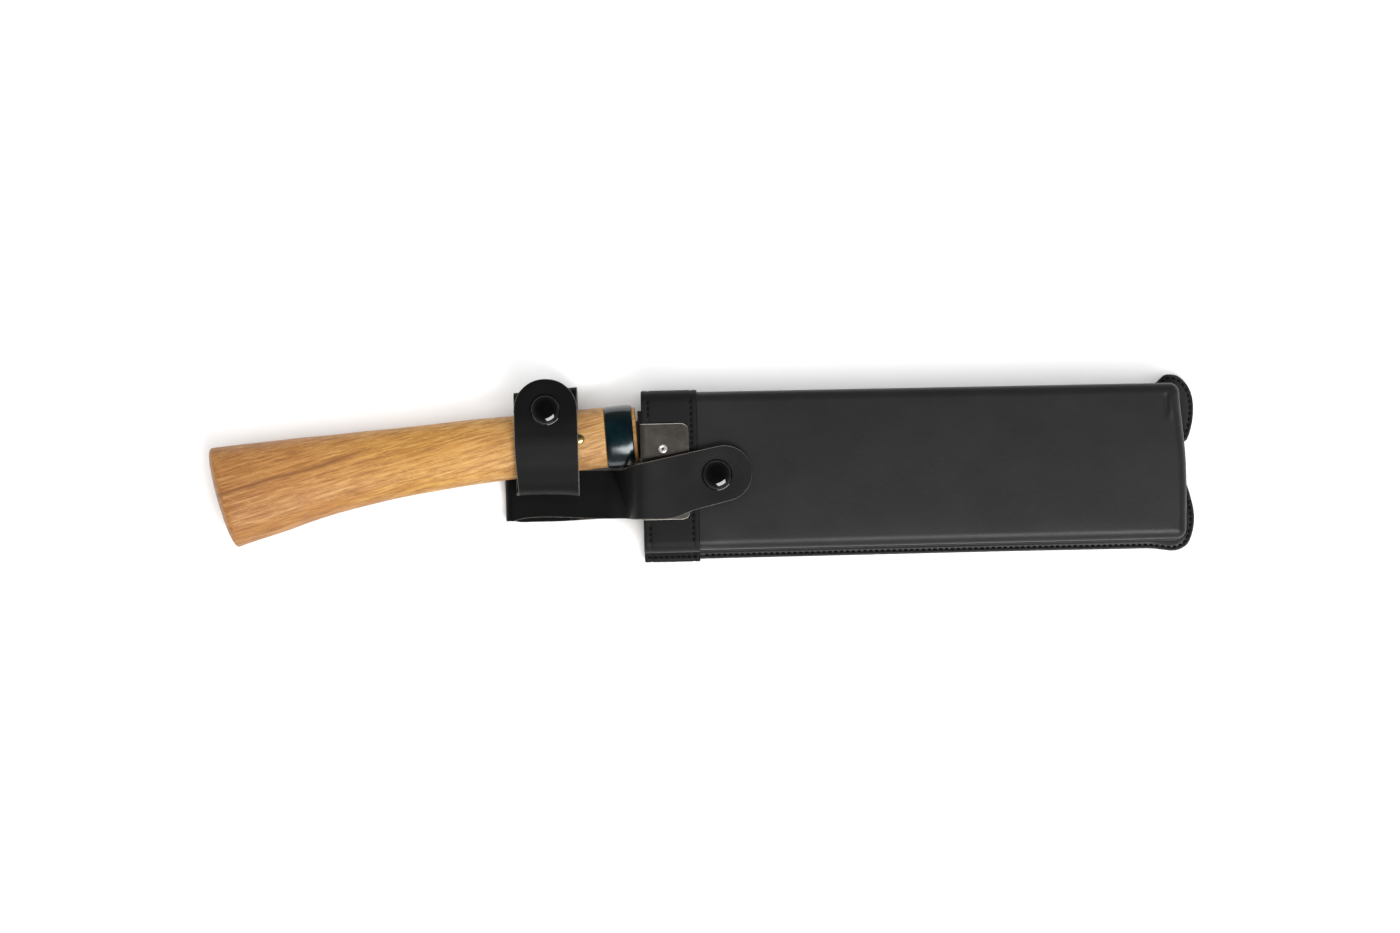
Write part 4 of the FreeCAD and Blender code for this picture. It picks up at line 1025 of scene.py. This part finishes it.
# Each row: the upper edge's x, y past the loop and z, then the same of the lower edge.
belt_rows = []
for x in (loop_high.x, -12, -27, -42, -57, -68, -74):
    belt_rows.append((x, 0, ROOT_MID, x, -0.6 * ease((-41 - x) / 12), ROOT_MID))
for x, z in arc((FOLD_X, (ROOT_MID + LAYER_MID) / 2), FOLD_R, *range(0, -181, -20)):
    belt_rows.append((x, 0, z, x, -0.1, z))
for x, low_x, past in ((-73, -73, 0.9), (-66, -66, 1.3), (-57, -57, 1.05), (-48, -48, 0.4), (-41.5, -38, 0)):
    belt_rows.append((x, 0, LAYER_MID, low_x, past, LAYER_MID))
belt_rows += [
    (-38.0, 0, LAYER_MID, -32.5, 0, LAYER_MID),
    (-35.6, 0, LAYER_MID + 1.0, -29.3, -0.1, LAYER_MID + 1.0),
    (-33.9, 0, LAYER_MID + 4.6, -28.1, -0.1, LAYER_MID + 4.6),
    (-31.4, 0, 14.6, -28.3, -0.2, 13.0),
    (-29.6, 0.5, 20.0, -28.2, -0.25, 18.6),
    (-28.3, 1.1, 24.2, -27.9, -0.3, 23.4),
    (-27.2, 1.5, 27.0, -27.2, -0.35, 26.7),
    (-25.6, 1.9, 29.2, -25.8, -0.4, 29.0),
    (-23.4, 2.4, 30.05, -23.3, -0.4, 30.05),
]
for x, past, z, low_x, low_past, low_z in belt_rows:
    upper.append(Vector((x, LOOP_TOP + past, z)))
    lower.append(Vector((low_x, LOOP_LOW + low_past, low_z)))
snap_middle = Vector((belt_snap.x, belt_snap.y, TAB_MID))
TAB_HALF = 11.4
for reach, spare in ((-25, 1.5), (-20, 1.85), (-15, 1.0), (-10, 0.5), (-5, 0.35), (0, 0.1)):
    middle = snap_middle + tab_way * reach
    for line, side in ((upper, TAB_HALF), (lower, -TAB_HALF - spare)):
        at = middle + tab_left * side
        at.z += ease((-11 - at.x) / 10)
        line.append(at)
left_run, right_run = smooth_run(upper, 3), smooth_run(lower, 3)
lefts, rights = end_rows(
    snap_middle + tab_way * 3.1, tab_way, tab_left, TAB_HALF, TAB_HALF - 0.2, steps=12
)


def belt_shape(at):
    """Presses the strap down round the snap and lifts its free end a little."""
    if at.z > TAB_MID - 0.1:
        away = (at - Vector((belt_snap.x, belt_snap.y, at.z))).length
        at.z += 0.22 * ease((away - 6.0) / 5.0) * ease((at.x + 18) / 10)
        at.z += 0.08 * uneven(at.x / 8, at.y / 8, 1.0)
    elif at.z > LAYER_MID - 0.1 and at.x > -72:
        at.z += 0.12 * uneven(at.x / 12, at.y / 9, 5.0)
    return at


belt_looks = ("belt_leather", "raw_edge")
belt_strap = strip(
    "belt_strap", left_run + lefts, right_run + rights, GAUGE, STRAP_ROUND, belt_looks, 18, belt_shape
)
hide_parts("belt_loop", "belt_strap_riser", "belt_strap_bend", "belt_strap_tab")
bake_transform(belt_strap)


# Handle strap

base_low, base_high = span("handle_strap_base")
front_low, front_high = span("handle_strap_tab")
bend_low = span("handle_strap_bend")[0]
hcap_low, hcap_high = span("handle_snap_cap")
handle_snap = (hcap_low + hcap_high) / 2
STRAP_L, STRAP_R = base_low.x, base_high.x
RUN_MID = base_low.z + GAUGE / 2
START_MID = bend_low.z + GAUGE / 2
CREST_Y = base_high.y - GAUGE / 2
BASE_FRONT = base_high.z - GAUGE / 2


def strap_lines(path, lean, pinch=lambda at: 0):
    """The two edge lines of the handle strap along a path of (y, z) points."""
    lefts, rights = [], []
    for at in path:
        shift = lean(at)
        lefts.append(Vector((STRAP_L + pinch(at), at.y - shift, at.z)))
        rights.append(Vector((STRAP_R, at.y + shift, at.z)))
    return lefts, rights


base_path = [
    (-6.9, START_MID), (-4, START_MID), (-1, START_MID), (1.6, START_MID - 0.6), (4.2, RUN_MID + 0.5),
    (7, RUN_MID), (14, RUN_MID), (21, RUN_MID),
]
BACK_BEND, FRONT_BEND = 6.8, 3.3
base_path += arc((CREST_Y - BACK_BEND, RUN_MID + BACK_BEND), BACK_BEND, 0, 20, 40, 60, 80)
base_path += [(CREST_Y, 12.5), (CREST_Y, 17.0), (CREST_Y - 0.1, 20.3)]
base_path += arc((CREST_Y - FRONT_BEND, BASE_FRONT - FRONT_BEND), FRONT_BEND, 105, 130, 155, 178)
base_path += [(26.5, BASE_FRONT), (22.0, BASE_FRONT), (17.5, BASE_FRONT)]
base_run = smooth_run([(0, y, z) for y, z in base_path], 3)
lefts_b, rights_b = strap_lines(base_run, lambda at: 0.95 * ease((at.y - 24) / 8))
strap_looks = ("strap_leather", "raw_edge")
strap_back = strip("handle_strap_back", lefts_b, rights_b, GAUGE, STRAP_ROUND, strap_looks, 14)
belongs(strap_back, "sheath", "strap_leather", "handle_strap_base")

FRONT_Y = front_low.y + GAUGE / 2
OVER_Z = 24.9
TOP_MID = front_high.z - GAUGE / 2
front_path = [
    (-6.9, START_MID), (-8.1, START_MID + 0.25), (FRONT_Y, START_MID + 1.5), (FRONT_Y - 0.1, 11.5),
    (FRONT_Y - 0.1, 15.5), (FRONT_Y + 0.1, 18.6), (FRONT_Y + 0.9, 21.4), (FRONT_Y + 2.8, 23.5),
    (FRONT_Y + 6.0, OVER_Z - 0.2), (2.5, OVER_Z + 0.3), (7.5, OVER_Z + 0.8), (12.0, OVER_Z + 1.4),
    (16.0, OVER_Z + 2.0), (19.5, OVER_Z + 2.55), (22.5, TOP_MID - 0.05), (handle_snap.y, TOP_MID),
]
front_run = smooth_run([(0, y, z) for y, z in front_path], 3)
lefts_f, rights_f = strap_lines(
    front_run,
    lambda at: -0.25 * ease((-5 - at.y) / 4),
    lambda at: 1.2 * ease((12 - at.y) / 24) * ease((at.z - 8) / 4),
)
strap_end = Vector((handle_snap.x, handle_snap.y, TOP_MID))
end_l, end_r = end_rows(strap_end, Vector((0, 1, 0)), Vector((-1, 0, 0)), 13.0, 12.6, steps=12)


def tab_shape(at):
    """Presses the handle strap's end down round its snap and bows its lower bend."""
    across = (at.x - STRAP_L) / (STRAP_R - STRAP_L) * 2 - 1
    at.y += (0.3 - 0.8 * across * across) * ease((-7 - at.y) / 3)
    if at.y > 12:
        away = (at - Vector((handle_snap.x, handle_snap.y, at.z))).length
        at.z += 0.2 * ease((away - 6.0) / 5.0) * ease((at.y - 14) / 6)
    at.z += 0.1 * uneven(at.x / 9, at.y / 9, 3.0) * ease((at.z - 20) / 4)
    return at


strap_front = strip(
    "handle_strap", lefts_f + end_l[1:], rights_f + end_r[1:], GAUGE, STRAP_ROUND, strap_looks, 16, tab_shape
)
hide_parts("handle_strap_bend", "handle_strap_tab")
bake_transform(strap_front)


# Snaps, clip and rivets

CAP_PROFILE = [
    (0.05, 2.4), (1.2, 2.38), (2.4, 2.28), (3.6, 2.06), (4.5, 1.77), (5.2, 1.38), (5.7, 0.93),
    (5.98, 0.55), (6.08, 0.38), (6.16, 0.33), (6.27, 0.32), (6.34, 0.26), (6.35, 0.14), (6.3, 0.04),
    (5.8, 0.02), (2.0, 0.02), (1.9, -1.2), (0.05, -1.2),
]
for name, at, low in (("belt", belt_snap, cap_low), ("handle", handle_snap, hcap_low)):
    seat = (at.x, at.y, low.z + GAUGE + 0.03)
    turned(f"{name}_cap", CAP_PROFILE, "black_enamel", seat, f"{name}_tab", f"{name}_snap_cap", seg=72)

clip_round = 3.0
clip_gauge = 0.6
clip_z = clip_high.z - clip_gauge / 2
clip_x = clip_low.x + clip_gauge / 2
inner_z = clip_low.z + clip_gauge / 2
clip_path = [(-9.0, inner_z), (-14, inner_z), (-19, inner_z), (clip_x + 0.9, inner_z)]
clip_path += arc((clip_x + 0.5, inner_z + 0.5), 0.5, 0, -30, -60, -90)
clip_path += [(clip_x, 21.0), (clip_x, 24.5)]
clip_path += arc((clip_x + 0.6, clip_z - 0.6), 0.6, -90, -120, -150, -180)
clip_path += [(x, clip_z) for x in (-22.0, -20, -17, -14, -11, clip_high.x - clip_round)]
clip_middle = (clip_low.y + clip_high.y) / 2
clip_half = (clip_high.y - clip_low.y) / 2
clip_left = [Vector((x, clip_high.y, z)) for x, z in clip_path]
clip_right = [Vector((x, clip_low.y, z)) for x, z in clip_path]
clip_end = Vector((clip_high.x - clip_round, clip_middle, clip_z))
end_l, end_r = end_rows(clip_end, Vector((1, 0, 0)), Vector((0, 1, 0)), clip_half, clip_round, 8)
# The clip's rim has the pale steel, a painted highlight along its edge.
clip_looks = ("stainless", "painted_highlight_steel")
clip = strip(
    "mouth_clip", clip_left + end_l[1:], clip_right + end_r[1:], clip_gauge, 0.27, clip_looks, 12, worn=0.15
)
belongs(clip, "sheath", "stainless", "mouth_clip_front")

rivet_low, rivet_high = span("clip_rivets_front")
RIVET_R = (rivet_high.x - rivet_low.x) / 2
EYELET = [
    (0.35, -0.35), (0.5, -0.1), (0.62, 0.16), (0.85, 0.36), (1.15, 0.46), (1.45, 0.42), (1.7, 0.26),
    (1.84, 0.06), (1.84, -0.02), (0.9, -0.04), (0.9, -9.0),
]
rivet_x = (rivet_low.x + rivet_high.x) / 2
upper_rivet = (rivet_x, rivet_high.y - RIVET_R, clip_high.z)
lower_rivet = (rivet_x, rivet_low.y + RIVET_R, clip_high.z)
turned("clip_rivet_1", EYELET, "bright_steel", upper_rivet, "sheath", "clip_rivets_front")
turned("clip_rivet_2", EYELET, "bright_steel", lower_rivet, "sheath")


# Handle

BLADE_Z = 14.5
STATIONS = [
    (-195.6, -7.5, 21.2, 13.0, 14.3),
    (-190.0, -6.3, 20.5, 12.8, 13.2),
    (-174.0, -3.3, 18.8, 12.2, 10.0),
    (-162.0, -0.9, 17.4, 11.6, 8.0),
    (-150.0, 1.2, 16.1, 11.0, 6.0),
    (-136.0, 3.4, 15.1, 10.4, 4.6),
    (-124.0, 5.05, 14.3, 9.9, 3.6),
    (-108.0, 7.0, 13.7, 9.5, 3.0),
    (-94.0, 8.65, 13.35, 9.25, 3.0),
    (-78.0, 10.1, 13.0, 9.05, 3.3),
    (-63.0, 11.4, 12.8, 9.0, 3.5),
    (-50.0, 12.5, 12.5, 9.1, 3.5),
    (-39.6, 13.4, 12.35, 9.2, 3.5),
]
RING = 64
OVAL_POWER = 2.12


def oval_ring(x, y, high, thick, tilt):
    """A ring of the handle: a slightly squared oval, leaning by a tilt."""
    lean = math.radians(tilt)
    up = Vector((-math.sin(lean), math.cos(lean), 0))
    ring = []
    for k in range(RING):
        a = math.tau * k / RING
        c, s = math.cos(a), math.sin(a)
        side = math.copysign(abs(c) ** (2 / OVAL_POWER), c) * high
        front = math.copysign(abs(s) ** (2 / OVAL_POWER), s) * thick
        ring.append(Vector((x, y, BLADE_Z)) + up * side + Vector((0, 0, front)))
    return ring


rings = []
x, y, high, thick, tilt = STATIONS[0]
lean = math.radians(tilt)
back = Vector((-math.cos(lean), -math.sin(lean), 0))
BUTT = [
    (0.02, 2.9), (0.25, 2.8), (0.5, 2.5), (0.72, 2.0), (0.86, 1.4), (0.935, 0.85), (0.975, 0.3),
    (0.995, -0.5),
]
for share, reach in BUTT:
    at = Vector((x, y, 0)) + back * reach
    rings.append(oval_ring(at.x, at.y, high * share, thick * share, tilt))
places = smooth_run([station[:3] for station in STATIONS], 6)
sections = smooth_run([(*station[3:], 0) for station in STATIONS], 6)
for place, section in zip(places, sections):
    if place.x > STATIONS[0][0] + 1.5:
        rings.append(oval_ring(*place, section.x, section.y))
shoulder = STATIONS[-1]
SPIGOT_TILT, FERRULE_TILT = 3.5, 3.2
spigot_lean = math.radians(SPIGOT_TILT)
spigot_way = Vector((math.cos(spigot_lean), math.sin(spigot_lean), 0))
SPIGOT = [
    (0.8, 12.3, 9.15), (1.1, 12.15, 9.0), (1.25, 11.6, 8.5), (1.3, 11.45, 8.3), (13.6, 11.45, 8.3),
    (13.9, 11.3, 8.15), (14.05, 10.9, 7.8), (14.1, 6.0, 4.0), (14.1, 0.2, 0.2),
]
for reach, high, thick in SPIGOT:
    at = Vector((shoulder[0], shoulder[1], 0)) + spigot_way * reach
    rings.append(oval_ring(at.x, at.y, high, thick, SPIGOT_TILT))
handle_points = [p for ring in rings for p in ring]
closed("oak_grip", handle_points, capped_faces(len(rings), RING), "oak", "knife", "handle")

ferrule_points = []
ferrule_start = Vector((-38.3, 13.35, 0))
FERRULE = [
    (0.35, 11.5, 8.35), (0.1, 12.0, 8.9), (0.0, 12.3, 9.2), (0.12, 12.5, 9.38), (0.5, 12.62, 9.48),
    (2.5, 12.78, 9.6), (5.7, 12.85, 9.66), (8.9, 12.78, 9.6), (10.8, 12.6, 9.46), (11.2, 12.46, 9.34),
    (11.32, 12.26, 9.16), (11.2, 11.9, 8.8), (11.0, 11.5, 8.35),
]
for reach, high, thick in FERRULE:
    at = ferrule_start + spigot_way * reach
    ferrule_points += oval_ring(at.x, at.y, high, thick, FERRULE_TILT)
ferrule_faces = ring_faces(len(FERRULE), RING)
closed("blued_ferrule", ferrule_points, ferrule_faces, "blued_steel", "knife", "ferrule")

pin_low, pin_high = span("handle_pin")
pin_x, pin_y = (pin_low.x + pin_high.x) / 2, (pin_low.y + pin_high.y) / 2
PIN = [
    (0.05, 0.95), (0.7, 0.93), (1.3, 0.82), (1.85, 0.6), (2.25, 0.28), (2.45, -0.05), (2.45, -0.4),
    (1.5, -0.42), (1.5, -4.0),
]
PIN_RISE = 0.55
turned("pin_head_front", PIN, "brass", (pin_x, pin_y, pin_high.z - PIN_RISE), "knife", "handle_pin", seg=32)
turned("pin_head_back", PIN, "brass", (pin_x, pin_y, pin_low.z + PIN_RISE), "knife", seg=32, low=True)

modify(nodes["blade"], "edges", "BEVEL", width=0.12 * MM, segments=2, angle_limit=math.radians(35))


# Stage, light and camera

FLOOR = 6.0
FLOOR_GAP = 0.0005
floor_mesh = bpy.data.meshes.new("floor")
floor_corners = [(-FLOOR, -FLOOR, 0), (FLOOR, -FLOOR, 0), (FLOOR, FLOOR, 0), (-FLOOR, FLOOR, 0)]
floor_mesh.from_pydata(floor_corners, [], [(0, 1, 2, 3)])
floor = placed("floor", floor_mesh)
floor.location.z = -FLOOR_GAP
paper = Look("paper").set(Base_Color=(0.94, 0.94, 0.94, 1), Roughness=0.9, Specular_IOR_Level=0.1)
floor_mesh.materials.append(paper)

world = bpy.data.worlds.new("studio")
bpy.context.scene.world = world
world.use_nodes = True
sky = Tree(world.node_tree, "Generated")
SKY_STOPS = ((0.0, 0.5), (0.5, 0.28), (0.85, 0.07), (1.0, 0.025))
shade = sky.ramp(sky.axis(sky.place, "Z"), *[(place, (level,) * 3) for place, level in SKY_STOPS])
side = sky.span(sky.axis(sky.place, "Y"), -0.8, 0.8, 1.0, 0.4)
sky.put(sky.tree.nodes["Background"].inputs["Color"], sky.math("MULTIPLY", shade, side))


def softbox(name, place, size, power, in_gloss=False):
    """A rectangular soft light aimed at the object, seen in reflections only if asked for."""
    data = bpy.data.lights.new(name, "AREA")
    data.shape = "RECTANGLE"
    data.size, data.size_y = size
    data.energy = power
    made = placed(name, data)
    made.location = place
    made.rotation_euler = (-Vector(place)).to_track_quat("-Z", "Y").to_euler()
    made.visible_glossy = in_gloss
    made.visible_camera = False


softbox("key", (0.5, -1.0, 1.5), (1.1, 0.8), 33, in_gloss=True)
softbox("top", (0.0, 0.1, 2.0), (2.4, 1.6), 26)
softbox("back", (-0.2, 1.7, 1.5), (2.2, 0.9), 16)
softbox("left", (-1.8, -0.1, 1.2), (0.9, 1.6), 14)
softbox("right", (1.8, -0.2, 1.2), (0.9, 1.6), 14)

LENS, CAMERA_HEIGHT, PHOTO_TURN = 220, 3.528, -1.4
camera_data = bpy.data.cameras.new("camera")
camera_data.lens = LENS
camera_data.sensor_width = 36
camera_data.clip_end = 20
camera = placed("camera", camera_data)
camera.location = (0.0, 0.0006, CAMERA_HEIGHT)
camera.rotation_euler = (0, 0, math.radians(PHOTO_TURN))
bpy.context.scene.camera = camera
bpy.context.scene.view_settings.view_transform = "Standard"
